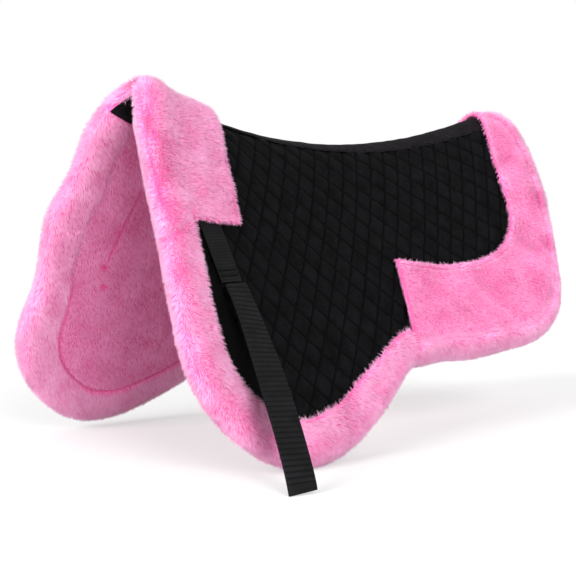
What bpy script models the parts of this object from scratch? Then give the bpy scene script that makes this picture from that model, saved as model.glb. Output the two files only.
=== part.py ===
"""Wither relief half pad, horse's left on +X, withers on -Y, built in metres with +Z up.

Every sewn piece is laid out on a flat pattern and then hung over the horse's back.  A point of the
pattern is (u, v, h): u runs along the spine, v down the panel from the spine line, and h stands
out from the black cotton, so that fur, wadding and lining are layers with a negative h.
"""
import math

import bmesh
import bpy
import numpy as np
from mathutils import Vector

# Spine line: height above the ground at four places along the pad.  The origin is under the
# spine at its middle, where the pad rests on the horse, so the ground lies at -SEAT_LEVEL.
SPINE_PROFILE = ((-0.240, 0.405), (-0.060, 0.345), (0.120, 0.335), (0.360, 0.383))
PAD_MIDDLE = 0.044            # pattern u that stands at y = 0
# Cross-section: how steeply a panel falls and how tight the fold over the spine is
PANEL_SLOPE = 1.13            # radians below the horizontal, reached away from the spine
CREST_SOFTNESS = 0.0095
PANEL_FLARE = 0.17            # further slope for each metre down the panel, radians
FORWARD_SWEEP = 0.30          # share of the spine's own slope that the panel leans by

# Layers of a panel, as heights over the cotton
QUILT_PUFF = 0.0010
QUILT_SEAM = -0.0011
SLIVER = 0.0012               # corners of the cut cotton closer than this become one
COVER_BACK = -0.0026
FOAM_TOP = -0.0035
FOAM_BACK = -0.0115
LINING_TOP = -0.0123
LINING_BACK = -0.0235
CREST_THINNING = 0.45         # share of the depth that is left right under the spine
THINNING_REACH = 0.060

# Quilting: one diamond's two sides on the pattern
QUILT_ORIGIN = (-0.024, 0.196)
QUILT_SIDE_A = (-0.0107, 0.0201)
QUILT_SIDE_B = (0.0151, 0.0136)

# Fur edge: outer line of the pad, and the seam where each fur piece meets the cotton
WITHER_STATIONS = (           # outer edge, inside of the roll, back edge of the cuff
    ((-0.220, 0.000), (-0.184, 0.000), (-0.118, 0.000)),
    ((-0.229, 0.030), (-0.193, 0.028), (-0.122, 0.025)),
    ((-0.235, 0.065), (-0.199, 0.060), (-0.129, 0.050)),
    ((-0.238, 0.100), (-0.202, 0.092), (-0.133, 0.080)),
    ((-0.240, 0.135), (-0.203, 0.123), (-0.135, 0.112)),
    ((-0.240, 0.170), (-0.203, 0.150), (-0.137, 0.135)),
    ((-0.240, 0.203), (-0.203, 0.171), (-0.139, 0.153)))
FLAP_STATIONS = (             # outer edge, inner seam
    ((-0.240, 0.203), (-0.203, 0.171)),
    ((-0.240, 0.250), (-0.204, 0.232)),
    ((-0.239, 0.290), (-0.201, 0.285)),
    ((-0.233, 0.324), (-0.191, 0.317)),
    ((-0.219, 0.356), (-0.178, 0.338)),
    ((-0.198, 0.383), (-0.163, 0.350)),
    ((-0.171, 0.400), (-0.148, 0.357)),
    ((-0.140, 0.406), (-0.130, 0.360)),
    ((-0.108, 0.403), (-0.108, 0.357)),
    ((-0.075, 0.392), (-0.084, 0.347)),
    ((-0.038, 0.370), (-0.058, 0.333)),
    ((-0.004, 0.342), (-0.031, 0.311)),
    ((0.020, 0.319), (-0.005, 0.290)),
    ((0.040, 0.302), (0.022, 0.269)),
    ((0.054, 0.292), (0.046, 0.254)),
    ((0.062, 0.288), (0.066, 0.250)))
CANTLE_STATIONS = (           # outer edge, seam with the cotton
    ((0.350, 0.000), (0.322, 0.000)),
    ((0.364, 0.015), (0.318, 0.013)),
    ((0.371, 0.038), (0.310, 0.032)),
    ((0.372, 0.070), (0.301, 0.060)),
    ((0.368, 0.110), (0.293, 0.093)),
    ((0.361, 0.150), (0.287, 0.125)),
    ((0.351, 0.190), (0.279, 0.150)),
    ((0.337, 0.228), (0.265, 0.165)),
    ((0.316, 0.262), (0.245, 0.177)),
    ((0.286, 0.284), (0.222, 0.182)),
    ((0.250, 0.293), (0.195, 0.183)),
    ((0.200, 0.293), (0.165, 0.181)),
    ((0.150, 0.291), (0.135, 0.177)),
    ((0.105, 0.289), (0.105, 0.170)),
    ((0.062, 0.288), (0.077, 0.164)))
ROLL_WIDTH = 0.038            # stuffed roll along the rear edge, under its fur
ROLL_TOP = 0.0085
ROLL_BACK = -0.0245
CUFF_UNDER = 0.0042           # underside of a fur cuff, clear of the quilting and webbing
CUFF_TOP = 0.0105
ROLL_SHARE = 0.80             # and never more than this share of the fur's width
SEAM_GAP = 0.0004             # air left between two pieces that are sewn edge to edge
COVER_GAP = 0.0008            # the same between the cotton's cut edge and a roll
COVER_TUCK = 0.010            # cotton carried on under the rear fur
NOTCH_TUCK = (0.005, -0.006)  # the cotton's corner under the cantle fur, past the flap roll
CORE_GAP = 0.0036             # wadding and lining stop this far short of the rolls
CREST_POINTS = 23             # stations of the cotton's cut edge along the spine
CREST_CORNER = 0.004          # the cut edge turns this far short of the rear fur's line
QUILT_MARGIN = 0.030          # diamonds are laid this far past the cut edge before it is cut
CUTTER_DEPTH = 0.020
WITHER_RINGS = 13
FLAP_RINGS = 31
CANTLE_RINGS = 27
PANEL_ROWS = (0.0, 0.035, 0.08, 0.15, 0.28, 0.44, 0.62, 0.81, 1.0)
PANEL_COLUMNS = 33
FIRST_SPACING = 0.002         # least distance from a cut end to the next station of a rail

# Spine: binding outside, lining inside, and the fur that folds over the ridge
BAND_HALF_WIDTH = 0.029
BAND_UNDER = 0.0016
BAND_TOP = 0.0028
BAND_ENDS = (-0.150, 0.325)
GULLET_HALF_WIDTH = 0.0205
GULLET_TOP = -0.0046
GULLET_BACK = -0.0060
GULLET_ENDS = (-0.176, 0.318)
CREST_FACETS = (0.0, 0.0035, 0.0070, 0.0105, 0.0136, 0.0170, 0.0205, 0.0248, 0.0290)
CROWN_HALF_WIDTH = 0.0136
PANEL_TOP = 0.0212            # where the panels' layers begin
FUR_TOP = 0.0140              # where the panels' fur begins

# Webbing straps: sewn down to the fold, then free
STRAP_WIDTH = 0.031
STRAP_LENGTH = 0.241
STRAP_TOP = (-0.181, 0.153, 0.0026)       # pattern place of the webbing's upper end
STRAP_FOLD = (-0.1690, 0.2240, 0.0046)    # lower end of the sewn webbing
ANCHOR_THICKNESS = 0.0018
ANCHOR_BARE = (0.021, 0.055)              # flat stretch with nothing over it, from the upper end
ANCHOR_PRESSED = 0.0002                   # the stitching draws the two ends down by this
STRAP_THICKNESS = 0.0042
FOLD_GAP = 0.0012
STRAP_STATIONS = 7
LEFT_AIM = (0.266, -0.265, 0.003)         # the left strap's end, its height over the ground
LEFT_FACE = (0.88, -0.18, 0.45)           # and its outer face looks this way
LEFT_START = (0.0020, 0.0032)             # past the fold, and off the sewn webbing
LEFT_BOW = 0.014
RIGHT_AIM = (0.040, 0.345, 0.0150)        # the right strap lies back along its panel, u, v, h
RIGHT_START = (0.0035, 0.0044)
RIGHT_BOW = 0.0015
BARTACK_LENGTH = 0.026
BARTACK_WIDTH = 0.0022
BARTACK_HEIGHT = 0.0008
BARTACK_LIFT = 0.0003
BARTACK_INSETS = (0.0075, 0.0135)         # from the sewn webbing's lower end

COLOURS = {                   # base colour, roughness
    "cotton": ((0.010, 0.010, 0.011, 1.0), 0.85),
    "binding": ((0.008, 0.008, 0.009, 1.0), 0.70),
    "webbing": ((0.014, 0.014, 0.015, 1.0), 0.60),
    "thread": ((0.030, 0.030, 0.032, 1.0), 0.50),
    "foam": ((0.55, 0.53, 0.48, 1.0), 0.90),
    "fur": ((0.83, 0.20, 0.45, 1.0), 0.95),
}


def clear_scene():
    for found in list(bpy.data.objects):
        bpy.data.objects.remove(found, do_unlink=True)


def height_over_ground(u):
    """The cubic through the four named places of the spine."""
    total = 0.0
    for place_u, height in SPINE_PROFILE:
        weight = 1.0
        for other_u, _ in SPINE_PROFILE:
            if other_u != place_u:
                weight *= (u - other_u) / (place_u - other_u)
        total += weight * height
    return total


SEAT_LEVEL = height_over_ground(PAD_MIDDLE) + GULLET_BACK


def spine_height(u):
    return height_over_ground(u) - SEAT_LEVEL


def panel_angle(v):
    return PANEL_SLOPE * v / (v + CREST_SOFTNESS) + PANEL_FLARE * v


SECTION_STEP = 0.0005
SECTION_V = np.arange(0.0, 0.50, SECTION_STEP)
SECTION_MIDS = SECTION_V + SECTION_STEP / 2
SECTION_OUT = np.concatenate(([0.0], np.cumsum(np.cos(panel_angle(SECTION_MIDS)) * SECTION_STEP)[:-1]))
SECTION_DOWN = np.concatenate(([0.0], np.cumsum(np.sin(panel_angle(SECTION_MIDS)) * SECTION_STEP)[:-1]))


def depth_share(v):
    """Layers thin out toward the spine, so both sides clear each other in the gullet."""
    reach = min(1.0, v / THINNING_REACH)
    return CREST_THINNING + (1.0 - CREST_THINNING) * reach * reach * (3.0 - 2.0 * reach)


def hang(u, v, h, side=1.0, thin=True):
    """World point of the pattern point (u, v, h); a negative v is on the other side."""
    if v < 0.0:
        v, side = -v, -side
    if thin and h < 0.0:
        h *= depth_share(v)
    angle = panel_angle(v)
    out = float(np.interp(v, SECTION_V, SECTION_OUT)) + h * math.sin(angle)
    down = float(np.interp(v, SECTION_V, SECTION_DOWN)) - h * math.cos(angle)
    slope = (spine_height(u + 0.001) - spine_height(u - 0.001)) / 0.002
    lean = FORWARD_SWEEP * math.atan(slope)
    return Vector((side * out,
                   u - PAD_MIDDLE + down * math.sin(lean),
                   spine_height(u) - down * math.cos(lean)))


def smooth_rail(points, count):
    """A smooth line through the points, read at evenly spaced stations of the list."""
    pts = np.array(points, dtype=float)
    before = 2 * pts[:1] - pts[1:2]
    after = 2 * pts[-1:] - pts[-2:-1]
    pts = np.concatenate((before, pts, after))
    spans = len(pts) - 3
    rail = []
    for t in np.linspace(0.0, spans, count):
        k = min(int(t), spans - 1)
        f = t - k
        p0, p1, p2, p3 = pts[k:k + 4]
        rail.append(0.5 * (2 * p1 + (p2 - p0) * f + (2 * p0 - 5 * p1 + 4 * p2 - p3) * f * f
                           + (3 * p1 - p0 - 3 * p2 + p3) * f ** 3))
    return np.array(rail)


def start_rail_at(rails, v_start):
    """Cut a set of rails that run down from the spine so that they begin at v_start."""
    cut = []
    for rail in rails:
        keep = rail[:, 1] > v_start + FIRST_SPACING
        first = np.array([np.interp(v_start, rail[:, 1], rail[:, 0]), v_start])
        cut.append((first, rail[keep]))
    shortest = min(len(kept) for _, kept in cut)
    return [np.vstack((first, kept[len(kept) - shortest:])) for first, kept in cut]


def loft(name, rings, cap_faces=None):
    """Join equal rings of world points into one closed body."""
    mesh_data = bmesh.new()
    rows = [[mesh_data.verts.new(point) for point in ring] for ring in rings]
    around = len(rows[0])
    for ring_a, ring_b in zip(rows[:-1], rows[1:]):
        for i in range(around):
            j = (i + 1) % around
            mesh_data.faces.new((ring_a[i], ring_a[j], ring_b[j], ring_b[i]))
    for row in (rows[0], rows[-1]):
        for corners in cap_faces or (range(around),):
            mesh_data.faces.new([row[i] for i in corners])
    return finish_body(name, mesh_data)


def finish_body(name, mesh_data):
    bmesh.ops.triangulate(mesh_data, faces=[f for f in mesh_data.faces if len(f.verts) > 4])
    bmesh.ops.recalc_face_normals(mesh_data, faces=mesh_data.faces)
    mesh = bpy.data.meshes.new(name)
    mesh_data.to_mesh(mesh)
    mesh_data.free()
    made = bpy.data.objects.new(name, mesh)
    PARTS.objects.link(made)
    return made


def paint(made, key):
    material = bpy.data.materials.get(key)
    if material is None:
        colour, roughness = COLOURS[key]
        material = bpy.data.materials.new(key)
        material.use_nodes = True
        shader = material.node_tree.nodes["Principled BSDF"]
        shader.inputs["Base Color"].default_value = colour
        shader.inputs["Roughness"].default_value = roughness
        shader.inputs["Metallic"].default_value = 0.0
        material.diffuse_color = colour
    made.data.materials.append(material)


def across(outer, middle, inner, a):
    """Pattern point across a fur strip: 0 outer edge, 1 inside of the roll, 2 cuff edge."""
    if a <= 1.0:
        return outer + (middle - outer) * a
    return middle + (inner - middle) * (a - 1.0)


def fur_strip(name, rails, section, side, cap_faces=None):
    """Sweep a section of (a, h) pairs along three matching rails."""
    rings = []
    for outer, middle, inner in zip(*rails):
        ring = []
        for a, h in section:
            u, v = across(outer, middle, inner, a)
            ring.append(hang(u, v, h, side))
        rings.append(ring)
    return loft(name, rings, cap_faces)


# Sections of the fur edge, from its inner seam underneath, round the outer edge, and back on top
ROLL_ROUND = ((0.60, ROLL_BACK), (0.30, ROLL_BACK + 0.001), (0.10, ROLL_BACK + 0.005),
              (0.00, -0.0115), (0.05, -0.0035), (0.18, 0.0035), (0.38, ROLL_TOP - 0.001))
FLAP_SECTION = ((1.0, LINING_BACK + 0.0010),) + ROLL_ROUND + (
    (0.62, ROLL_TOP), (0.88, ROLL_TOP - 0.0015), (1.0, 0.0020))
CUFF_SECTION = ((1.0, LINING_BACK + 0.0010),) + ROLL_ROUND + (
    (0.85, CUFF_TOP), (1.50, CUFF_TOP - 0.0010), (1.92, CUFF_TOP - 0.0020), (2.0, CUFF_TOP - 0.0045),
    (2.0, CUFF_UNDER), (1.50, CUFF_UNDER), (1.0, CUFF_UNDER))
CUFF_CAPS = ((0, 1, 2, 3, 4, 5, 6, 7, 8, 14), (8, 9, 13, 14), (9, 10, 12, 13), (10, 11, 12))


def cut_back(rail_from, rail_to, distance):
    """Move each station of a rail toward another rail by a distance."""
    step = rail_to - rail_from
    length = np.linalg.norm(step, axis=1)[:, None]
    return rail_from + step / length * distance


def wither_rails():
    return [smooth_rail([station[k] for station in WITHER_STATIONS], WITHER_RINGS) for k in range(3)]


def flap_rails():
    outer = smooth_rail([station[0] for station in FLAP_STATIONS], FLAP_RINGS)
    inner = smooth_rail([station[1] for station in FLAP_STATIONS], FLAP_RINGS)
    return [outer, inner, inner]


def cantle_rails():
    outer = smooth_rail([station[0] for station in CANTLE_STATIONS], CANTLE_RINGS)
    inner = smooth_rail([station[1] for station in CANTLE_STATIONS], CANTLE_RINGS)
    width = np.linalg.norm(inner - outer, axis=1)[:, None]
    middle = outer + (inner - outer) * np.minimum(ROLL_SHARE, ROLL_WIDTH / width)
    return [outer, middle, inner]


def shift_end(rails, gap):
    """Hold the last station of each rail back from the piece that it meets."""
    held = []
    for rail in rails:
        moved = rail.copy()
        step = moved[-2] - moved[-1]
        moved[-1] = moved[-1] + step / np.linalg.norm(step) * gap
        held.append(moved)
    return held


def make_fur_edges(label, side):
    cuff = shift_end(start_rail_at(wither_rails(), FUR_TOP), SEAM_GAP)
    paint(fur_strip(label + "_wither_cuff", cuff, CUFF_SECTION, side, CUFF_CAPS), "fur")
    flap = shift_end(flap_rails(), SEAM_GAP)
    paint(fur_strip(label + "_flap_roll", flap, FLAP_SECTION, side), "fur")
    cantle = shift_end(start_rail_at(cantle_rails(), FUR_TOP), SEAM_GAP)
    paint(fur_strip(label + "_cantle_cuff", cantle, CUFF_SECTION, side, CUFF_CAPS), "fur")


def panel_boundary():
    """The line inside the rolls, from the withers round the flap to the cantle."""
    front = start_rail_at(wither_rails(), PANEL_TOP)[1][:-1]
    flap = flap_rails()[1]
    rear = start_rail_at(cantle_rails(), PANEL_TOP)[1][::-1]
    line = np.vstack((front, flap, rear[1:]))
    tangent = np.gradient(line, axis=0)
    tangent /= np.linalg.norm(tangent, axis=1)[:, None]
    inward = np.column_stack((tangent[:, 1], -tangent[:, 0]))
    line = line + inward * CORE_GAP
    line[0, 1] = line[-1, 1] = PANEL_TOP
    return line


def even_stations(line, count):
    """Read a line of points at equal steps along its length."""
    run = np.concatenate(([0.0], np.cumsum(np.linalg.norm(np.diff(line, axis=0), axis=1))))
    wanted = np.linspace(0.0, run[-1], count)
    return np.column_stack([np.interp(wanted, run, line[:, k]) for k in range(2)])


def panel_layer(name, h_top, h_back, side):
    """A full layer of the panel between the spine and the line inside the rolls."""
    foot = even_stations(panel_boundary(), PANEL_COLUMNS)
    head = np.column_stack((np.linspace(foot[0, 0], foot[-1, 0], PANEL_COLUMNS),
                            np.full(PANEL_COLUMNS, PANEL_TOP)))
    rings = []
    for top, bottom in zip(head[1:-1], foot[1:-1]):
        points = [top + (bottom - top) * row for row in PANEL_ROWS]
        ring = [hang(u, v, h_top, side) for u, v in points]
        ring += [hang(u, v, h_back, side) for u, v in reversed(points)]
        rings.append(ring)
    return loft(name, rings, flat_caps(len(rings[0])))


def flat_caps(around):
    """End faces of a flat ring whose first half lies over its second half."""
    return [(i, i + 1, around - 2 - i, around - 1 - i) for i in range(around // 2 - 1)]


def quilt_lattice(outline):
    """Flat quilted cotton: diamonds with a raised middle over a plain back."""
    mesh_data = bmesh.new()
    side_a, side_b = np.array(QUILT_SIDE_A), np.array(QUILT_SIDE_B)
    origin = np.array(QUILT_ORIGIN)
    inverse = np.linalg.inv(np.column_stack((side_b, side_a)))
    lowest = outline.min(axis=0) - QUILT_MARGIN
    highest = outline.max(axis=0) + QUILT_MARGIN
    corners = [inverse @ (np.array((u, v)) - origin)
               for u in (lowest[0], highest[0]) for v in (lowest[1], highest[1])]
    low = np.floor(np.min(corners, axis=0)).astype(int)
    high = np.ceil(np.max(corners, axis=0)).astype(int)
    seam, back = {}, {}
    cells = []
    for i in range(low[0], high[0] + 1):
        for j in range(low[1], high[1] + 1):
            middle = origin + side_b * (i + 0.5) + side_a * (j + 0.5)
            if np.all(middle > lowest) and np.all(middle < highest):
                cells.append((i, j, middle))
    for i, j, _ in cells:
        for key in ((i, j), (i + 1, j), (i + 1, j + 1), (i, j + 1)):
            if key not in seam:
                u, v = origin + side_b * key[0] + side_a * key[1]
                seam[key] = mesh_data.verts.new((u, v, QUILT_SEAM))
                back[key] = mesh_data.verts.new((u, v, COVER_BACK))
    edges = {}
    for i, j, middle in cells:
        puff = mesh_data.verts.new((middle[0], middle[1], QUILT_PUFF))
        ring = ((i, j), (i + 1, j), (i + 1, j + 1), (i, j + 1))
        for a, b in zip(ring, ring[1:] + ring[:1]):
            mesh_data.faces.new((seam[a], seam[b], puff))
            edges[frozenset((a, b))] = edges.get(frozenset((a, b)), 0) + 1
        mesh_data.faces.new([back[key] for key in reversed(ring)])
    for i, j, _ in cells:
        ring = ((i, j), (i + 1, j), (i + 1, j + 1), (i, j + 1))
        for a, b in zip(ring, ring[1:] + ring[:1]):
            if edges[frozenset((a, b))] == 1:
                mesh_data.faces.new((seam[b], seam[a], back[a], back[b]))
    bmesh.ops.recalc_face_normals(mesh_data, faces=mesh_data.faces)
    mesh = bpy.data.meshes.new("quilt_sheet")
    mesh_data.to_mesh(mesh)
    mesh_data.free()
    return bpy.data.objects.new("quilt_sheet", mesh)


def cover_outline():
    """Cut line of the cotton: inside the front rolls and tucked under the rear fur."""
    front = start_rail_at(wither_rails(), PANEL_TOP)[1][:-1]
    flap_edge, flap = flap_rails()[:2]
    rear = cantle_rails()[2][::-1]
    outline = np.vstack((front + np.array([(COVER_GAP, 0.0)]),
                         cut_back(flap, flap_edge, -COVER_GAP)))
    tangent = np.gradient(rear, axis=0)
    tangent /= np.linalg.norm(tangent, axis=1)[:, None]
    outward = np.column_stack((-tangent[:, 1], tangent[:, 0]))
    tucked = rear + outward * COVER_TUCK
    tucked = tucked[tucked[:, 1] > PANEL_TOP + CREST_CORNER]
    corner = cantle_rails()[1][-1] + np.array(NOTCH_TUCK)
    crest_u = np.linspace(tucked[-1, 0] + CREST_CORNER, outline[0, 0], CREST_POINTS)[:-1]
    crest = np.column_stack((crest_u, np.full(len(crest_u), PANEL_TOP)))
    return np.vstack((outline, corner, tucked, crest))


def extruded_outline(name, outline, depth):
    """A flat filled curve, thickened both ways, as a mesh cutter."""
    data = bpy.data.curves.new(name, "CURVE")
    data.dimensions = "2D"
    data.fill_mode = "BOTH"
    data.extrude = depth
    spline = data.splines.new("POLY")
    spline.points.add(len(outline) - 1)
    for point, (u, v) in zip(spline.points, outline):
        point.co = (u, v, 0.0, 1.0)
    spline.use_cyclic_u = True
    curve_object = bpy.data.objects.new(name, data)
    CUTTERS.objects.link(curve_object)
    bpy.context.view_layer.update()
    evaluated = curve_object.evaluated_get(bpy.context.evaluated_depsgraph_get())
    mesh = bpy.data.meshes.new_from_object(evaluated)
    bpy.data.objects.remove(curve_object, do_unlink=True)
    mesh_data = bmesh.new()
    mesh_data.from_mesh(mesh)
    bmesh.ops.remove_doubles(mesh_data, verts=mesh_data.verts, dist=0.00001)
    bmesh.ops.recalc_face_normals(mesh_data, faces=mesh_data.faces)
    mesh_data.to_mesh(mesh)
    mesh_data.free()
    cutter = bpy.data.objects.new(name, mesh)
    cutter.hide_render = True
    cutter.display_type = "WIRE"
    CUTTERS.objects.link(cutter)
    return cutter


def flat_cover():
    """The quilted cotton cut to its outline, still flat on the pattern."""
    outline = cover_outline()
    sheet = quilt_lattice(outline)
    CUTTERS.objects.link(sheet)
    cutter = extruded_outline("cover_outline", outline, CUTTER_DEPTH)
    trim = sheet.modifiers.new("outline", "BOOLEAN")
    trim.operation = "INTERSECT"
    trim.object = cutter
    bpy.context.view_layer.update()
    evaluated = sheet.evaluated_get(bpy.context.evaluated_depsgraph_get())
    mesh = bpy.data.meshes.new_from_object(evaluated)
    bpy.data.objects.remove(sheet, do_unlink=True)
    return mesh


def make_cover(label, side, flat_mesh):
    mesh_data = bmesh.new()
    mesh_data.from_mesh(flat_mesh)
    bmesh.ops.remove_doubles(mesh_data, verts=mesh_data.verts, dist=SLIVER)
    for vert in mesh_data.verts:
        vert.co = hang(vert.co.x, vert.co.y, vert.co.z, side)
    bmesh.ops.triangulate(mesh_data, faces=mesh_data.faces)
    paint(finish_body(label + "_quilted_cover", mesh_data), "cotton")


def crest_strip(name, u_stations, v_list, h_top, h_back, thin):
    """A strip that folds over the spine, from one side's v to the other's."""
    rings = []
    for u in u_stations:
        ring = [hang(u, v, h_top, thin=thin) for v in v_list]
        ring += [hang(u, v, h_back, thin=thin) for v in reversed(v_list)]
        rings.append(ring)
    return loft(name, rings, flat_caps(len(rings[0])))


def both_sides(half_width):
    """The shared facet lines over the ridge, out to a half width on each side."""
    near = [v for v in CREST_FACETS if v <= half_width + 0.00001]
    return [-v for v in reversed(near[1:])] + near


def make_spine():
    band_u = np.linspace(BAND_ENDS[0], BAND_ENDS[1], 16)
    band_v = both_sides(BAND_HALF_WIDTH)
    paint(crest_strip("spine_band", band_u, band_v, BAND_TOP, BAND_UNDER, True), "binding")
    gullet_u = np.linspace(GULLET_ENDS[0], GULLET_ENDS[1], 13)
    gullet_v = both_sides(GULLET_HALF_WIDTH)
    paint(crest_strip("gullet_lining", gullet_u, gullet_v, GULLET_TOP, GULLET_BACK, False), "binding")


def make_crown(name, rails, section):
    """Fur folded over the ridge between the two sides' fur, as one piece of the spine."""
    rings = []
    for v in both_sides(CROWN_HALF_WIDTH):
        stations = []
        for rail in rails:
            stations.append(np.array([np.interp(abs(v), rail[:, 1], rail[:, 0]), v]))
        rings.append([hang(*across(*stations, a), h) for a, h in section])
    paint(loft(name, rings, CUFF_CAPS), "fur")


def flat_length(start, end, face, width, thickness):
    """A flat box from start to end with its outer face turned to the face vector, and its axes."""
    run = (end - start).normalized()
    wide = run.cross(face).normalized()
    out = wide.cross(run).normalized()
    mesh_data = bmesh.new()
    bmesh.ops.create_cube(mesh_data, size=1.0)
    length = (end - start).length
    for vert in mesh_data.verts:
        local = vert.co.copy()
        vert.co = (start + run * (local.x + 0.5) * length + wide * local.y * width
                   + out * local.z * thickness)
    return mesh_data, run, out


def bartack(name, start, end, face):
    mesh_data, _, _ = flat_length(start, end, face, BARTACK_WIDTH, BARTACK_HEIGHT)
    return finish_body(name, mesh_data)


def sewn_webbing(name, start, end, face):
    """Webbing that lies flat over its bare stretch and is drawn down at its two sewn ends."""
    mesh_data, run, out = flat_length(start, end, face, STRAP_WIDTH, ANCHOR_THICKNESS)
    for distance in ANCHOR_BARE:
        whole = mesh_data.verts[:] + mesh_data.edges[:] + mesh_data.faces[:]
        bmesh.ops.bisect_plane(mesh_data, geom=whole, plane_co=start + run * distance, plane_no=run)
    for vert in mesh_data.verts:
        place = (vert.co - start).dot(run)
        on_bare_stretch = ANCHOR_BARE[0] - SEAM_GAP < place < ANCHOR_BARE[1] + SEAM_GAP
        if not on_bare_stretch and (vert.co - start).dot(out) > 0.0:
            vert.co -= out * ANCHOR_PRESSED
    return finish_body(name, mesh_data)


def panel_face(u, v, side):
    """Outward direction of a panel at a pattern point."""
    along = hang(u + 0.002, v, 0.0, side) - hang(u - 0.002, v, 0.0, side)
    down = hang(u, v + 0.002, 0.0, side) - hang(u, v - 0.002, 0.0, side)
    face = along.cross(down).normalized()
    if face.x * side < 0.0:
        face.negate()
    return face


def bent_webbing(name, start, end, face_start, face_end, bow):
    """A free length of webbing that bows out and turns between its two ends."""
    run = (end - start).normalized()
    out_end = run.cross(face_end).normalized().cross(run).normalized()
    rings = []
    for t in np.linspace(0.0, 1.0, STRAP_STATIONS):
        middle = start.lerp(end, t) + out_end * bow * 4.0 * t * (1.0 - t)
        slope = bow * 4.0 * (1.0 - 2.0 * t) / (end - start).length
        way = (run + out_end * slope).normalized()
        wide = way.cross(face_start.lerp(face_end, t)).normalized()
        normal = wide.cross(way).normalized()
        rings.append([middle + wide * a * STRAP_WIDTH / 2 + normal * b * STRAP_THICKNESS / 2
                      for a, b in ((1, 1), (-1, 1), (-1, -1), (1, -1))])
    return loft(name, rings)


def make_strap(label, side):
    """Sewn webbing, its two rows of bartack, and the free length below the fold."""
    top = hang(*STRAP_TOP, side)
    fold = hang(*STRAP_FOLD, side)
    face = panel_face(STRAP_FOLD[0], STRAP_FOLD[1], side)
    run = (fold - top).normalized()
    wide = run.cross(face).normalized()
    out = wide.cross(run).normalized()
    paint(sewn_webbing(label + "_strap_anchor", top, fold - run * FOLD_GAP, face), "webbing")
    for number, inset in enumerate(BARTACK_INSETS, 1):
        rise = ANCHOR_THICKNESS / 2 + BARTACK_LIFT + BARTACK_HEIGHT / 2
        seat = fold - run * (FOLD_GAP + inset) + out * rise
        half = wide * BARTACK_LENGTH / 2
        paint(bartack(f"{label}_strap_bartack_{number}", seat - half, seat + half, out), "thread")
    if label == "left":
        past, lift = LEFT_START
        aim = Vector(LEFT_AIM) - Vector((0.0, 0.0, SEAT_LEVEL))
        aim_face, bow = Vector(LEFT_FACE), LEFT_BOW
    else:
        past, lift = RIGHT_START
        aim, bow = hang(*RIGHT_AIM, side), RIGHT_BOW
        aim_face = panel_face(RIGHT_AIM[0], RIGHT_AIM[1], side)
    start = fold + run * past + out * lift
    end = start + (aim - start).normalized() * STRAP_LENGTH
    paint(bent_webbing(label + "_strap", start, end, face, aim_face, bow), "webbing")


clear_scene()
PARTS = bpy.data.collections.new("wither_relief_half_pad")
CUTTERS = bpy.data.collections.new("cutters")
bpy.context.scene.collection.children.link(PARTS)
bpy.context.scene.collection.children.link(CUTTERS)

make_spine()
make_crown("wither_crown", wither_rails(), CUFF_SECTION)
make_crown("cantle_crown", cantle_rails(), CUFF_SECTION)
FLAT_COVER = flat_cover()
for LABEL, SIDE in (("left", 1.0), ("right", -1.0)):
    make_cover(LABEL, SIDE, FLAT_COVER)
    paint(panel_layer(LABEL + "_foam_core", FOAM_TOP, FOAM_BACK, SIDE), "foam")
    paint(panel_layer(LABEL + "_fur_lining", LINING_TOP, LINING_BACK, SIDE), "fur")
    make_fur_edges(LABEL, SIDE)
    make_strap(LABEL, SIDE)
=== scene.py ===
"""Wither relief half pad: quilted black cotton, pink synthetic sheepskin and webbing straps.

The sewn pieces are laid out on the pad's flat pattern (u along the spine, v down the panel, h out
from the cotton) and hung over the horse's back, as the frame's own pieces are.
"""
import math

import bmesh
import bpy
import numpy as np
from bpy.props import FloatProperty, FloatVectorProperty, IntProperty, PointerProperty
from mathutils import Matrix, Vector


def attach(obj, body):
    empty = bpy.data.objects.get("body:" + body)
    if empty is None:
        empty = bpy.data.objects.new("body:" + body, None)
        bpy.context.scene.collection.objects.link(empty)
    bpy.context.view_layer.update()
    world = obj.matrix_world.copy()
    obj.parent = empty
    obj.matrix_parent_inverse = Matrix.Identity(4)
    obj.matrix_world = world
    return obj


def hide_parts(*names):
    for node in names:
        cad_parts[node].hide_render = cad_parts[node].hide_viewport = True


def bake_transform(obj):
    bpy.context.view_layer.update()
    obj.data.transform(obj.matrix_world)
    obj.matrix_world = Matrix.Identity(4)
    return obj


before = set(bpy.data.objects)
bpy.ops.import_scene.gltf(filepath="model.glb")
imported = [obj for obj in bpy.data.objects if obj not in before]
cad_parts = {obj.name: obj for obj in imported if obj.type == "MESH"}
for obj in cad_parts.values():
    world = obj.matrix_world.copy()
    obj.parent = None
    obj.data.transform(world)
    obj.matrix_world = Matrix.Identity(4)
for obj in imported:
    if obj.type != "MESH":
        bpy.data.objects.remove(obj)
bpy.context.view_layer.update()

bl_info = {
    "name": "Wither relief half pad",
    "version": (1, 0, 0),
    "blender": (4, 5, 0),
    "location": "3D View > Sidebar > Half Pad",
    "description": "Dresses the half pad's frame in quilted cotton, fur pile and webbing",
    "category": "Object",
}

SIDES = {"left": 1.0, "right": -1.0}
MM = 0.001

# The pattern: the spine's height over the ground at four places, and how a panel hangs from it
SPINE_PROFILE = ((-0.240, 0.405), (-0.060, 0.345), (0.120, 0.335), (0.360, 0.383))
PAD_MIDDLE = 0.044
PANEL_SLOPE = 1.13
CREST_SOFTNESS = 0.0095
PANEL_FLARE = 0.17
FORWARD_SWEEP = 0.30
GULLET_BACK = -0.0060
CREST_THINNING = 0.45
THINNING_REACH = 0.060

# Layers, as heights over the cotton
FOAM_TOP = -0.0035
FOAM_BACK = -0.0115
LINING_TOP = -0.0123
CUFF_UNDER = 0.0042
PANEL_TOP = 0.0212

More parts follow.
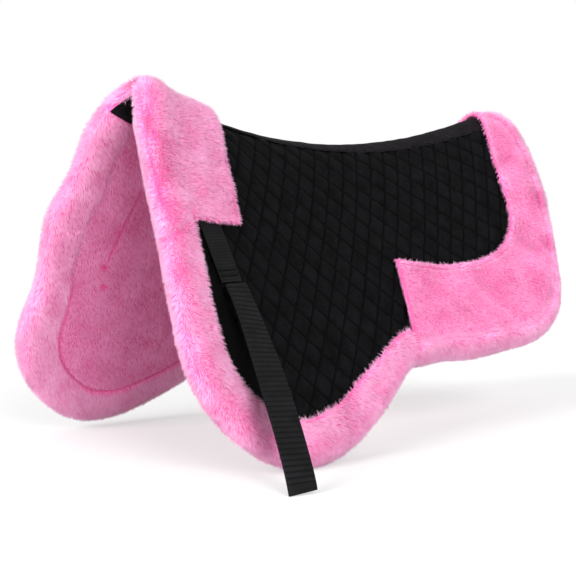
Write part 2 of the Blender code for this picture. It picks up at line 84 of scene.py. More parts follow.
# Quilting on the pattern: one crossing of the stitch lines, and the two sides of a diamond
QUILT_ORIGIN = np.array((-0.024, 0.196))
QUILT_SIDE_A = np.array((-0.0107, 0.0201))
QUILT_SIDE_B = np.array((0.0151, 0.0136))
QUILT_TO_PATTERN = np.column_stack((QUILT_SIDE_B, QUILT_SIDE_A))

WITHER_STATIONS = (           # outer edge, inside of the roll, back edge of the cuff
    ((-0.220, 0.000), (-0.184, 0.000), (-0.118, 0.000)),
    ((-0.229, 0.030), (-0.193, 0.028), (-0.122, 0.025)),
    ((-0.235, 0.065), (-0.199, 0.060), (-0.129, 0.050)),
    ((-0.238, 0.100), (-0.202, 0.092), (-0.133, 0.080)),
    ((-0.240, 0.135), (-0.203, 0.123), (-0.135, 0.112)),
    ((-0.240, 0.170), (-0.203, 0.150), (-0.137, 0.135)),
    ((-0.240, 0.203), (-0.203, 0.171), (-0.139, 0.153)))
FLAP_STATIONS = (             # outer edge, inner seam
    ((-0.240, 0.203), (-0.203, 0.171)), ((-0.240, 0.250), (-0.204, 0.232)),
    ((-0.239, 0.290), (-0.201, 0.285)), ((-0.233, 0.324), (-0.191, 0.317)),
    ((-0.219, 0.356), (-0.178, 0.338)), ((-0.198, 0.383), (-0.163, 0.350)),
    ((-0.171, 0.400), (-0.148, 0.357)), ((-0.140, 0.406), (-0.130, 0.360)),
    ((-0.108, 0.403), (-0.108, 0.357)), ((-0.075, 0.392), (-0.084, 0.347)),
    ((-0.038, 0.370), (-0.058, 0.333)), ((-0.004, 0.342), (-0.031, 0.311)),
    ((0.020, 0.319), (-0.005, 0.290)), ((0.040, 0.302), (0.022, 0.269)),
    ((0.054, 0.292), (0.046, 0.254)), ((0.062, 0.288), (0.066, 0.250)))
CANTLE_STATIONS = (           # outer edge, seam with the cotton
    ((0.350, 0.000), (0.322, 0.000)), ((0.364, 0.015), (0.318, 0.013)),
    ((0.371, 0.038), (0.310, 0.032)), ((0.372, 0.070), (0.301, 0.060)),
    ((0.368, 0.110), (0.293, 0.093)), ((0.361, 0.150), (0.287, 0.125)),
    ((0.351, 0.190), (0.279, 0.150)), ((0.337, 0.228), (0.265, 0.165)),
    ((0.316, 0.262), (0.245, 0.177)), ((0.286, 0.284), (0.222, 0.182)),
    ((0.250, 0.293), (0.195, 0.183)), ((0.200, 0.293), (0.165, 0.181)),
    ((0.150, 0.291), (0.135, 0.177)), ((0.105, 0.289), (0.105, 0.170)),
    ((0.062, 0.288), (0.077, 0.164)))
ROLL_WIDTH = 0.038
ROLL_SHARE = 0.80
COVER_INSET = 0.0004
COVER_TOP = 0.0030

# The leather side of the fur edges, which the pile stands on: the place across (0 outer edge,
# 1 inside of the roll, 2 hem of the cuff) and the height over the cotton
ROLL_SKIN = ((1.0, -0.0205), (0.60, -0.0208), (0.32, -0.0198), (0.15, -0.0160), (0.085, -0.0105),
             (0.13, -0.0040), (0.28, 0.0020))
FLAP_SKIN = ROLL_SKIN + ((0.46, 0.0046), (0.72, 0.0048), (0.92, 0.0040), (1.09, 0.0026),
                         (1.095, 0.0016), (1.0, 0.0), (1.0, -0.004))
PATCH_SKIN = ROLL_SKIN + (
    (0.40, 0.0050), (0.50, 0.0056), (0.60, 0.0040), (0.70, 0.0040), (0.90, 0.0056), (1.40, 0.0064),
    (1.88, 0.0066), (2.005, 0.0060), (2.025, 0.0050), (1.95, 0.0045), (1.50, 0.0045), (1.0, 0.0045))
CUFF_SKIN = ROLL_SKIN + (
    (0.46, 0.0054), (0.72, 0.0068), (0.92, 0.0066), (1.08, 0.0060), (1.40, 0.0066), (1.88, 0.0066),
    (2.005, 0.0060), (2.035, 0.0050), (1.95, 0.0045), (1.50, 0.0045), (1.0, 0.0045))
LINING_SKIN = -0.0197

# Stitching through the lining behind the webbing, on the pattern
STRAP_STITCH_LINE = ((-0.1640, 0.106), (-0.1695, 0.197))
STRAP_STITCH_MARKS = ((-0.1715, 0.2085), (-0.1665, 0.2310))

# Webbing
STRAP_WIDTH = 0.031
STRAP_LENGTH = 0.241
STRAP_TOP = (-0.181, 0.153, 0.0026)
STRAP_FOLD = (-0.1690, 0.2240, 0.0046)
ANCHOR_THICKNESS = 0.0018
STRAP_THICKNESS = 0.0042
FOLD_GAP = 0.0012
LEFT_START = (0.0020, 0.0032)
LEFT_LIFT = 0.14
LEFT_AIM = (0.2700, -0.2680, 0.0020)
LEFT_FOOT_WAY = (0.10, 0.10, -1.0)
LEFT_HANDLES = (0.045, 0.040)
LEFT_FACE = (0.90, -0.22, 0.30)
LEFT_TURN = 0.60
RIGHT_AIM = (0.040, 0.345, 0.0150)
RIGHT_START = (0.0035, 0.0044)
RIGHT_BOW = 0.0015

# Spine
BAND_WIDTHS = ((-0.150, 0.0085), (0.000, 0.0150), (0.150, 0.0215), (0.325, 0.0250))
BAND_SEAM = 0.0021             # from the binding's edge to its stitching
BAND_STITCH = 0.0030
BAND_UNDER = 0.0006
BAND_TOP = 0.0016
BAND_ENDS = (-0.150, 0.325)
BAND_ROUNDING = 0.0012
BAND_WAVER = 0.00022
BAND_SEAM_WIDTH, BAND_DRAWN_IN = 0.0009, 0.0004
GULLET_CLOTH_HALF = 0.041     # black cloth between the two furs, on each side of the spine

# Camera: measured from the photograph's vanishing lines and the pad's symmetry
CAMERA_AZIMUTH = math.radians(48.0)
CAMERA_ELEVATION = math.radians(4.2)
CAMERA_DISTANCE = 1.7381
CAMERA_LENS = 93.75
CAMERA_SENSOR = 36.0


def height_over_ground(u):
    """Height of the spine, as the smooth curve through the places in its profile."""
    total = 0.0
    for place_u, height in SPINE_PROFILE:
        weight = 1.0
        for other_u, _ in SPINE_PROFILE:
            if other_u != place_u:
                weight = weight * (u - other_u) / (place_u - other_u)
        total = total + weight * height
    return total


SEAT_LEVEL = height_over_ground(PAD_MIDDLE) + GULLET_BACK
GROUND = -SEAT_LEVEL
CAMERA_TARGET = Vector((0.0, -0.044, 0.1682 + GROUND))


def spine_height(u):
    """The same, measured from the horse's back at the pad's middle."""
    return height_over_ground(u) - SEAT_LEVEL


def panel_angle(v):
    """How steeply a panel hangs, in radians below the horizontal."""
    return PANEL_SLOPE * v / (v + CREST_SOFTNESS) + PANEL_FLARE * v


SECTION_STEP = 0.0005
SECTION_V = np.arange(0.0, 0.50, SECTION_STEP)
SECTION_MIDS = panel_angle(SECTION_V + SECTION_STEP / 2)
SECTION_OUT = np.concatenate(([0.0], np.cumsum(np.cos(SECTION_MIDS) * SECTION_STEP)[:-1]))
SECTION_DOWN = np.concatenate(([0.0], np.cumsum(np.sin(SECTION_MIDS) * SECTION_STEP)[:-1]))


def smooth_step(x):
    """From nothing at 0 to one at 1, level at both ends."""
    x = np.clip(x, 0.0, 1.0)
    return x * x * (3.0 - 2.0 * x)


def ramp(x, start, reach):
    """Smoothly from nothing at start to one at start + reach."""
    return smooth_step((x - start) / reach)


def bell(x, middle, width):
    """One at the middle, falling away on both sides; width is where it is down to about a third."""
    return np.exp(-((x - middle) / width) ** 2)


def bump(x, middle, reach):
    """One at the middle, falling smoothly to nothing at reach on both sides."""
    return 1.0 - smooth_step(np.abs(x - middle) / reach)


# How a soft panel gives as it lies: bumps as (how far, middle, reach), at its front and rear edges
# along u over v, and at its foot along v over u
LEFT_FRONT_GIVE = ((-0.0085, 0.365, 0.085),)
LEFT_REAR_GIVE = ((0.0030, 0.030, 0.060), (-0.0065, 0.210, 0.100))
LEFT_FOOT_GIVE = ((0.0030, -0.150, 0.090), (0.0065, 0.300, 0.100), (0.0035, 0.020, 0.050),
                  (-0.0030, 0.110, 0.050))
LEFT_FOOT_DROP = 0.0026
RIGHT_FRONT_GIVE = ((0.0070, 0.270, 0.060), (-0.0060, 0.070, 0.070), (-0.0060, 0.180, 0.060),
                    (-0.0045, 0.360, 0.050))
RIGHT_FOOT_GIVE = ((-0.0240, -0.020, 0.130),)


def bumps(x, places):
    """The sum of some bumps."""
    return sum(far * bump(x, middle, reach) for far, middle, reach in places)


def ease(u, v, side):
    """Pattern places moved a few millimetres, each side in its own way."""
    front = ramp(-u, 0.150, 0.060)
    if side > 0.0:
        u_give = front * bumps(v, LEFT_FRONT_GIVE) + ramp(u, 0.290, 0.050) * bumps(v, LEFT_REAR_GIVE)
        v_give = ramp(v, 0.150, 0.120) * (LEFT_FOOT_DROP + bumps(u, LEFT_FOOT_GIVE))
    else:
        u_give = front * bumps(v, RIGHT_FRONT_GIVE)
        v_give = ramp(v, 0.150, 0.230) * bumps(u, RIGHT_FOOT_GIVE)
    return u + u_give, v + v_give


def hang(u, v, h, side):
    """World points of pattern points on one side of the spine."""
    u, v, h = (np.atleast_1d(np.asarray(x, dtype=float)) for x in (u, v, h))
    u, v, h = np.broadcast_arrays(u, v, h)
    u, v = ease(u, v, side)
    share = CREST_THINNING + (1.0 - CREST_THINNING) * smooth_step(v / THINNING_REACH)
    h = np.where(h < 0.0, h * share, h)
    angle = panel_angle(v)
    out = np.interp(v, SECTION_V, SECTION_OUT) + h * np.sin(angle)
    down = np.interp(v, SECTION_V, SECTION_DOWN) - h * np.cos(angle)
    lean = FORWARD_SWEEP * np.arctan((spine_height(u + 0.001) - spine_height(u - 0.001)) / 0.002)
    return np.column_stack((side * out, u - PAD_MIDDLE + down * np.sin(lean),
                            spine_height(u) - down * np.cos(lean)))


def hang_point(u, v, h, side):
    """The same for one point, as a vector."""
    return Vector(hang(u, v, h, side)[0])


def panel_face(u, v, side):
    """Outward direction of a panel at a pattern point."""
    along = hang_point(u + 0.002, v, 0.0, side) - hang_point(u - 0.002, v, 0.0, side)
    down = hang_point(u, v + 0.002, 0.0, side) - hang_point(u, v - 0.002, 0.0, side)
    face = along.cross(down).normalized()
    return -face if face.x * side < 0.0 else face


def smooth_rail(points, count):
    """A smooth line through the points, read at evenly spaced stations of the list."""
    pts = np.array(points, dtype=float)
    pts = np.concatenate((2 * pts[:1] - pts[1:2], pts, 2 * pts[-1:] - pts[-2:-1]))
    spans = len(pts) - 3
    t = np.linspace(0.0, spans, count)
    k = np.minimum(t.astype(int), spans - 1)
    f = (t - k)[:, None]
    p0, p1, p2, p3 = pts[k], pts[k + 1], pts[k + 2], pts[k + 3]
    return 0.5 * (2 * p1 + (p2 - p0) * f + (2 * p0 - 5 * p1 + 4 * p2 - p3) * f * f
                  + (3 * p1 - p0 - 3 * p2 + p3) * f ** 3)


RAIL_POINTS, BOUNDARY_POINTS = 240, 400


def stations_to_rails(stations):
    """One smooth line for each column of the stations."""
    return [smooth_rail([station[k] for station in stations], RAIL_POINTS)
            for k in range(len(stations[0]))]


def wither_rails():
    """The wither cuff's outer edge, the inside of its roll and its hem."""
    return stations_to_rails(WITHER_STATIONS)


def flap_rails():
    """The flap roll's outer edge, its inner seam, and a line as far again inside."""
    outer, inner = stations_to_rails(FLAP_STATIONS)
    return [outer, inner, inner + (inner - outer)]


def cantle_rails():
    """The rear fur's outer edge, the inside of its roll and its seam with the cotton."""
    outer, inner = stations_to_rails(CANTLE_STATIONS)
    width = np.linalg.norm(inner - outer, axis=1)[:, None]
    middle = outer + (inner - outer) * np.minimum(ROLL_SHARE, ROLL_WIDTH / width)
    return [outer, middle, inner]


def run_along(line):
    """How far along the line each of its points is."""
    return np.concatenate(([0.0], np.cumsum(np.linalg.norm(np.diff(line, axis=0), axis=1))))


def read_line(line, at, run=None):
    """A line's points at some places, counted in its points or measured as the given run."""
    run = np.arange(len(line)) if run is None else run
    return np.column_stack([np.interp(at, run, column) for column in line.T])


def even_line(line, count):
    """Read a line of points at equal steps along its length."""
    run = run_along(line)
    return read_line(line, np.linspace(0.0, run[-1], count), run)


def panel_boundary(inset, top=PANEL_TOP):
    """The line inside the rolls, from the withers round the flap to the cantle."""
    front = wither_rails()[1]
    front = front[front[:, 1] > top][:-1]
    rear = cantle_rails()[1]
    rear = rear[rear[:, 1] > top][::-1]
    line = even_line(np.vstack((front, flap_rails()[1], rear)), BOUNDARY_POINTS)
    tangent = np.gradient(line, axis=0)
    tangent /= np.linalg.norm(tangent, axis=1)[:, None]
    line = line + np.column_stack((tangent[:, 1], -tangent[:, 0])) * inset
    line[0, 1] = line[-1, 1] = top
    return line


def cover_outline():
    """Cut line of the cotton: inside the front rolls, on under the rear fur, up to the ridge."""
    line = panel_boundary(COVER_INSET, COVER_TOP)
    return np.vstack((line, [(line[-1, 0], COVER_TOP), (line[0, 0], COVER_TOP)]))


def inside_outline(points, outline):
    """For each point, whether the closed outline goes round it."""
    x, y = points[:, 0], points[:, 1]
    within = np.zeros(len(points), bool)
    for (x0, y0), (x1, y1) in zip(outline, np.roll(outline, -1, axis=0)):
        if y0 != y1:
            crosses = (y0 > y) != (y1 > y)
            within ^= crosses & (x < (x1 - x0) * (y - y0) / (y1 - y0) + x0)
    return within


def nearest_on_line(points, line, count=70):
    """Each point's distance to a line, read at some even steps, and the nearest place on it."""
    if len(line) > count:
        line = even_line(line, count)
    best = np.full(len(points), np.inf)
    place = np.array(points, dtype=float)
    for start, end in zip(line[:-1], line[1:]):
        step = end - start
        length = max(float(step @ step), 1e-12)
        t = np.clip(((points - start) @ step) / length, 0.0, 1.0)[:, None]
        at = start + t * step
        distance = np.linalg.norm(points - at, axis=1)
        closer = distance < best
        best[closer] = distance[closer]
        place[closer] = at[closer]
    return best, place


def colour(hex_text):
    """A colour as eyes read it, #RRGGBB, in the renderer's linear values."""
    parts = [int(hex_text[i:i + 2], 16) / 255.0 for i in (1, 3, 5)]
    return tuple(c / 12.92 if c <= 0.04045 else ((c + 0.055) / 1.055) ** 2.4 for c in parts) + (1.0,)


def add_node(tree, kind, links=None, **settings):
    """Add a shader node with its settings; links maps an input to a value or an output socket."""
    node = tree.nodes.new(kind)
    for name, value in settings.items():
        setattr(node, name, value)
    for key, value in (links or {}).items():
        if isinstance(value, bpy.types.NodeSocket):
            tree.links.new(value, node.inputs[key])
        else:
            node.inputs[key].default_value = value
    return node


def new_material(name, look):
    """A new material, with its node tree and its Principled shader, which has the look given."""
    material = bpy.data.materials.new(name)
    material.use_nodes = True
    shader = material.node_tree.nodes["Principled BSDF"]
    for key, value in look.items():
        shader.inputs[key].default_value = value
    return material, material.node_tree, shader


def colour_steps(tree, amount, steps):
    """A colour ramp through (place, hex colour) steps."""
    node = add_node(tree, "ShaderNodeValToRGB", {"Fac": amount})
    elements = node.color_ramp.elements
    while len(elements) < len(steps):
        elements.new(0.5)
    for element, (place, shade) in zip(elements, steps):
        element.position = place
        element.color = colour(shade)
    return node.outputs["Color"]


def mix_colours(tree, share, first, second, **settings):
    """Two colours mixed by a share."""
    return add_node(tree, "ShaderNodeMix", {"Factor": share, "A": first, "B": second},
                    data_type="RGBA", **settings).outputs["Result"]


def read_share(tree, value, low, high, least, most):
    """A value between low and high, as a share between least and most."""
    return add_node(tree, "ShaderNodeMapRange", {"Value": value, "From Min": low, "From Max": high,
                                                 "To Min": least, "To Max": most}).outputs["Result"]


WHITE = (1.0, 1.0, 1.0, 1.0)
PILE_ROOT, PILE_MIDDLE, PILE_TIP, PILE_SHEEN = "#DE549C", "#FA94CE", "#FFCEEB", "#FFD6EA"


def pile_material():
    """Synthetic sheepskin, acrylic pile brushed and sheared: matt; deep crimson roots, partly painted
    shade inside the pile, and pale tips, partly a painted highlight where they catch the light.
    """
    found = bpy.data.materials.get("synthetic_sheepskin_acrylic_pile")
    if found:
        return found
    shade = tuple(bpy.context.scene.half_pad_colours.pile_shade) + (1.0,)
    material, tree, shader = new_material("synthetic_sheepskin_acrylic_pile", {
        "Roughness": 0.62, "Specular IOR Level": 0.25, "Sheen Weight": 0.45, "Sheen Roughness": 0.45,
        "Sheen Tint": colour(PILE_SHEEN)})
    height = add_node(tree, "ShaderNodeAttribute", attribute_name="pile_height").outputs["Fac"]
    tone_and_shade = add_node(tree, "ShaderNodeAttribute", attribute_name="pile_tone_and_shade").outputs["Fac"]
    # up each strand: crimson root, partly painted shade, to pale tip, partly painted highlight
    strand = colour_steps(tree, height, ((0.0, PILE_ROOT), (0.32, PILE_MIDDLE), (1.0, PILE_TIP)))
    tinted = mix_colours(tree, 1.0, strand, mix_colours(tree, tone_and_shade, shade, WHITE),
                         blend_type="MULTIPLY")
    tree.links.new(tinted, shader.inputs["Base Color"])
    return material


def cloth_material(name, shade, pale, weave_mm, roughness, gloss, extra=None):
    """Woven black cloth: threads as a fine bump, and a slight change of shade between them."""
    found = bpy.data.materials.get(name)
    if found:
        return found
    material, tree, shader = new_material(name, {"Roughness": roughness, "Specular IOR Level": gloss})
    place = add_node(tree, "ShaderNodeTexCoord").outputs["Object"]
    scale = 1.0 / (weave_mm * MM)
    threads = add_node(tree, "ShaderNodeTexNoise", {"Vector": place, "Scale": scale, "Detail": 2.0})
    patches = add_node(tree, "ShaderNodeTexNoise", {"Vector": place, "Scale": 60.0, "Detail": 3.0})
    amount = add_node(tree, "ShaderNodeMath", {0: threads.outputs["Fac"], 1: patches.outputs["Fac"]},
                      operation="MULTIPLY").outputs["Value"]
    woven = colour_steps(tree, amount, ((0.14, shade), (0.36, pale)))
    tree.links.new(extra(tree, place, woven) if extra else woven, shader.inputs["Base Color"])
    dents = add_node(tree, "ShaderNodeBump", {"Height": threads.outputs["Fac"], "Strength": 0.5,
                                              "Distance": 0.3 * MM})
    tree.links.new(dents.outputs["Normal"], shader.inputs["Normal"])
    return material


def painted_groove_shade(tree, _, woven):
    """Painted shade: near black where the cloth lies deep, along stitch lines, between ribs and at the
    webbing's edges, and its own colour where it stands up.
    """
    rise = add_node(tree, "ShaderNodeAttribute", attribute_name="cloth_rise").outputs["Fac"]
    return mix_colours(tree, read_share(tree, rise, 0.25, 0.75, 0.15, 1.0), colour("#020202"), woven)


def shed_fibres(tree, place, woven):
    """Specks of pink fibre that the pile sheds on the smooth cloth, drawn about 1.5 mm across."""
    specks = add_node(tree, "ShaderNodeTexNoise", {"Vector": place, "Scale": 700.0, "Detail": 1.0})
    share = read_share(tree, specks.outputs["Fac"], 0.62, 0.72, 0.0, 0.25)
    return mix_colours(tree, share, woven, colour("#6E4A60"))


def cotton_material():
    """Black quilted cotton poplin: soft and matt, threads drawn at 1.2 mm so that they show."""
    # the stitch lines and the flat strip beside the front roll get painted shade
    return cloth_material("black_cotton_poplin", "#020203", "#0B0B0D", 1.2, 0.85, 0.05,
                          painted_groove_shade)


def binding_material():
    """Black polyester twill binding: smoother and a little glossier than the cotton."""
    return cloth_material("black_polyester_twill", "#060607", "#111113", 0.8, 0.70, 0.05,
                          shed_fibres)


def webbing_material():
    """Black polypropylene webbing, ribbed: hard threads with a dull gloss."""
    # painted shade darkens the grooves between ribs and the webbing's edges
    return cloth_material("black_polypropylene_webbing", "#070708", "#131315", 0.7, 0.55, 0.07,
                          painted_groove_shade)


def thread_material():
    """Black bonded nylon thread: thin and slightly shiny."""
    return cloth_material("black_nylon_thread", "#020203", "#09090B", 0.5, 0.50, 0.08)


def wadding_material():
    """Cream polyurethane foam: matt, with fine open cells."""
    return cloth_material("cream_polyurethane_foam", "#B9AF98", "#D9D1BC", 1.5, 0.9, 0.2)


def link_mesh(name, mesh, material):
    """A smooth-shaded piece of one material, in the scene."""
    piece = bpy.data.objects.new(name, mesh)
    bpy.context.scene.collection.objects.link(piece)
    mesh.materials.append(material)
    mesh.shade_smooth()
    return piece


PLACE_LAYERS = ("pattern_u", "pattern_v", "pattern_h", "place_across", "place_along")


def sheet_from_grid(name, steps, shape, side):
    """A bmesh grid laid over shape(s, t), which gives u, v, h and the place across, hung up.

    Its edges that meet are welded, and what is still open at the two ends is closed.
    """
    mesh_data = bmesh.new()
    bmesh.ops.create_grid(mesh_data, x_segments=steps[0], y_segments=steps[1], size=0.5)
    s, t = (np.array([vert.co for vert in mesh_data.verts]) + 0.5)[:, :2].T
    u, v, h, across = shape(s, t)
    layers = [mesh_data.verts.layers.float.new(key) for key in PLACE_LAYERS]
    places = zip(u, v, h, across, t)
    for vert, point, values in zip(mesh_data.verts, hang(u, v, h, side), places):
        vert.co = point
        for layer, value in zip(layers, values):
            vert[layer] = value
    bmesh.ops.remove_doubles(mesh_data, verts=mesh_data.verts, dist=0.00002)
    bmesh.ops.holes_fill(mesh_data, edges=[edge for edge in mesh_data.edges if edge.is_boundary])
    bmesh.ops.triangulate(mesh_data, faces=[face for face in mesh_data.faces if len(face.verts) > 4],
                          ngon_method="EAR_CLIP")
    bmesh.ops.recalc_face_normals(mesh_data, faces=mesh_data.faces)
    return finish_mesh(name, mesh_data)


def finish_mesh(name, mesh_data):
    """Turn a bmesh into a mesh, and let the bmesh go."""
    mesh = bpy.data.meshes.new(name)
    mesh_data.to_mesh(mesh)
    mesh_data.free()
    return mesh


def read_points(mesh, key="co", source=None):
    """A mesh's points, their normals, or the values of an attribute, as an array."""
    data = source or mesh.vertices
    width = 3 if key in ("co", "normal") else 1
    values = np.zeros(len(data) * width, np.float32)
    data.foreach_get(key, values)
    return values.reshape(-1, width) if width > 1 else values


WAVES = 20


def wave_field(points, wavelength, seed):
    """Smooth, even noise around zero at a given size, the same on each run."""
    random = np.random.default_rng(seed)
    way = random.normal(size=(WAVES, 3))
    way /= np.linalg.norm(way, axis=1)[:, None]
    way *= 2.0 * math.pi / (wavelength * random.uniform(0.7, 1.5, WAVES))[:, None]
    phase = random.uniform(0.0, 2.0 * math.pi, WAVES)
    total = np.zeros(len(points))
    for k in range(WAVES):
        total += np.sin(points @ way[k] + phase[k])
    return total / math.sqrt(WAVES)


def unit(vectors):
    """Each row made one long."""
    return vectors / np.maximum(np.linalg.norm(vectors, axis=1), 1e-9)[:, None]


def small_shape(make):
    """Points and faces of a small bmesh shape that is stamped many times."""
    mesh_data = bmesh.new()
    make(mesh_data)
    bmesh.ops.remove_doubles(mesh_data, verts=mesh_data.verts, dist=0.0001)
    mesh_data.verts.index_update()
    points = np.array([vert.co for vert in mesh_data.verts])
    faces = np.array([[vert.index for vert in face.verts] for face in mesh_data.faces])
    mesh_data.free()
    return points, faces


def strand_shape():
    """One clipped strand of pile: a three-sided spike of unit height and unit root radius."""
    return small_shape(lambda mesh_data: bmesh.ops.create_cone(
        mesh_data, segments=3, cap_ends=False, radius1=1.0, radius2=0.0, depth=1.0))


def stitch_shape():
    """One stitch: a small oval bead of unit half lengths."""
    return small_shape(lambda mesh_data: bmesh.ops.create_icosphere(
        mesh_data, subdivisions=1, radius=1.0))


def stamp(shape, places, across, along, up):
    """Copies of a small shape, each with its own three axes, which carry their lengths."""
    points, faces = shape
    made = (places[:, None, :] + points[None, :, :1] * across[:, None, :]
            + points[None, :, 1:2] * along[:, None, :] + points[None, :, 2:] * up[:, None, :])
    numbered = faces[None] + (np.arange(len(places)) * len(points))[:, None, None]
    return made.reshape(-1, 3), numbered.reshape(-1, faces.shape[1])


def triangles_mesh(name, points, triangles):
    """A mesh from stacked triangles, written in one go because there are many."""
    mesh = bpy.data.meshes.new(name)
    mesh.vertices.add(len(points))
    mesh.vertices.foreach_set("co", points.astype(np.float32).ravel())
    mesh.loops.add(triangles.size)
    mesh.loops.foreach_set("vertex_index", triangles.astype(np.int32).ravel())
    mesh.polygons.add(len(triangles))
    mesh.polygons.foreach_set("loop_start", np.arange(0, triangles.size, 3, dtype=np.int32))
    mesh.update(calc_edges=True)
    return mesh


LEAST_RISE = 0.45             # a strand never lies flatter than this, as a share of its length
PATCH_TONES, SMALL_TONES = 0.028, 0.006       # sizes of the fur's paler and deeper patches
SKIN_HEIGHT = 0.06            # pile_height of the skin itself, which takes the roots' colour, partly painted shade between the strands
STRAND_LENGTHS, STRAND_GIRTHS = (0.80, 1.08), (0.75, 1.3)    # least and greatest, as shares
FLOOR_CLEARANCE = 0.0003      # no strand reaches lower than this over the ground


def scatter(corners, sources, random):
    """The sources, of which the first is the points, read at even random places on the triangles."""
    density = bpy.context.scene.half_pad_pile.density * 1.0
    a, b, c = (sources[0][corners[:, k]] for k in range(3))
    area = np.linalg.norm(np.cross(b - a, c - a), axis=1) / 2
    count = int(area.sum() / MM ** 2 * density)
    chosen = np.searchsorted(np.cumsum(area) / area.sum(), random.random(count))
    chosen = corners[np.minimum(chosen, len(corners) - 1)]
    share = np.sqrt(random.random(count))
    split = random.random(count)
    parts = np.column_stack((1.0 - share, share * (1.0 - split), share * split))
    return [(source[chosen] * parts[:, :, None]).sum(axis=1) for source in sources]


def comb_strands(root, normal, cut, random, seed):
    """The strands' middles and their three axes, leaning as they are brushed, tufted and cut."""
    settings = bpy.context.scene.half_pad_pile
    count = len(root)
    brushed = np.column_stack([wave_field(root, settings.brushed_size, seed + k) for k in (1, 2, 3)])
    tufted = np.column_stack([wave_field(root, settings.tuft_size, seed + k) for k in (4, 5, 6)])
    combed = np.array((0.0, 0.0, -settings.droop)) + settings.brushed * brushed
    combed -= normal * (combed * normal).sum(axis=1)[:, None]
    way = unit(normal + combed + settings.tufted * tufted
               + settings.loose * random.normal(size=(count, 3)))
    rise = np.clip((way * normal).sum(axis=1), LEAST_RISE, 1.0)
    clipped = 0.92 + 0.08 * wave_field(root, settings.tuft_size * 1.5, seed + 7)
    tall = settings.length * cut * clipped * random.uniform(*STRAND_LENGTHS, count) / rise ** 0.5
    across = unit(np.cross(way, random.normal(size=(count, 3))))
    along = np.cross(way, across)
    thick = settings.strand_radius * random.uniform(*STRAND_GIRTHS, count)[:, None]
    thick = thick * 1.0
    middle = root - normal * settings.rooted + way * tall[:, None] / 2
    return middle, across * thick, along * thick, way * tall[:, None]


def grow_pile(skin, name, trim, seed):
    """Fur: the skin with strands standing on it, as one mesh with pile_height and pile_tone_and_shade.

    trim(places) takes u, v, h and the places across and along, and gives whether pile grows there
    and its share of the full length.
    """
    skin.calc_loop_triangles()
    corners = np.zeros(len(skin.loop_triangles) * 3, np.int32)
    skin.loop_triangles.foreach_get("vertices", corners)
    corners = corners.reshape(-1, 3)
    points, normals = read_points(skin).astype(float), read_points(skin, "normal").astype(float)
    places = np.column_stack([read_points(skin, "value", skin.attributes[key].data)
                              for key in PLACE_LAYERS])
    random = np.random.default_rng(seed)
    root, normal, place = scatter(corners, (points, normals, places), random)
    grown, cut = trim(place)
    root, normal, cut = root[grown], unit(normal[grown]), cut[grown]
    strand = strand_shape()
    made, faces = stamp(strand, *comb_strands(root, normal, cut, random, seed))
    count, per = len(root), len(strand[0])
    made[:, 2] = np.maximum(made[:, 2], GROUND + FLOOR_CLEARANCE)
    mesh = triangles_mesh(name, np.vstack((points, made)), np.vstack((corners, faces + len(points))))
    # where the pile is cut short it is drawn darker: its strands keep less of the pale tip colour, and
    # the tone below falls, painted shade along seams, stitching, hems and over the lining
    height = np.tile(strand[0][:, 2] + 0.5, count) * np.repeat(0.35 + 0.65 * cut, per)
    # the tone: the fur's own uneven patches and strands, times painted shade where the pile is cut
    tone_and_shade = (0.80 + 0.09 * wave_field(root, PATCH_TONES, seed + 8)
            + 0.05 * wave_field(root, SMALL_TONES, seed + 9)
            + 0.09 * random.normal(size=count)) * (0.50 + 0.50 * cut)
    # the bare skin's tone, darkened the same way where the pile is cut, as painted shade
    skin_tone_and_shade = (0.75 + 0.1 * wave_field(points, 0.012, seed + 10)) * trim(places)[1]
    values = {"pile_height": np.concatenate((np.full(len(points), SKIN_HEIGHT), height)),
              "pile_tone_and_shade": np.concatenate((skin_tone_and_shade, np.repeat(tone_and_shade, per)))}
    for key, data in values.items():
        layer = mesh.attributes.new(key, "FLOAT", "POINT")
        layer.data.foreach_set("value", np.clip(data, 0.0, 1.0).astype(np.float32))
    bpy.data.meshes.remove(skin)
    piece = link_mesh(name, mesh, pile_material())
    soften_shading(mesh, normals, np.repeat(normal, per, axis=0))
    return piece


def soften_shading(mesh, skin_normals, strand_normals):
    """Turn the strands' shading toward the skin's normal, as light that passes between them does."""
    share = bpy.context.scene.half_pad_pile.soft_shading
    own = read_points(mesh, "normal").astype(float)
    wanted = np.vstack((skin_normals, strand_normals))
    mesh.normals_split_custom_set_from_vertices(unit(own * (1.0 - share) + wanted * share))


def closed_section(section, count):
    """A smooth closed line through the section's corners, read at even steps, ends joined."""
    corners = np.array(section + section[:1], dtype=float)
    run = run_along(corners * np.array((ROLL_WIDTH, 1.0)))
    ring = read_line(corners, np.linspace(0.0, run[-1], count + 1), run)[:-1]
    for _ in range(3):
        ring = 0.25 * np.roll(ring, 1, axis=0) + 0.5 * ring + 0.25 * np.roll(ring, -1, axis=0)
    return np.vstack((ring, ring[:1]))


WITHER_RISE = 0.0042          # the fur stands higher where it is bent over the withers
CANTLE_RISE = -0.0035         # and lower where the rear fur is drawn down over the spine
CREST_RISE_REACH = 0.100      # down the panel, to where that is over
WITHER_CUT_BACK = 0.030       # the wither cuff ends this share sooner than its roll
CUFF_BODY = 0.0014            # least height of a cuff's top over its underside
LUMPS = ((0.0005, 0.045, 31), (0.0002, 0.014, 32))           # height, size and seed
SETTLED_ACROSS = (0.28, 0.50, 0.80, 1.00, 1.05)              # places across the front roll,
SETTLED_DROP = (0.0, 0.0010, 0.0020, 0.0026, 0.0)            # and how far it drops there
HORSE_SIDE = -0.012           # lower than this, pile faces the horse
INNER_WALL = -0.0195          # the rolls' bare inner walls reach down to here
CUFF_SOLE = CUFF_UNDER + 0.0009               # a cuff's bare underside lies below this

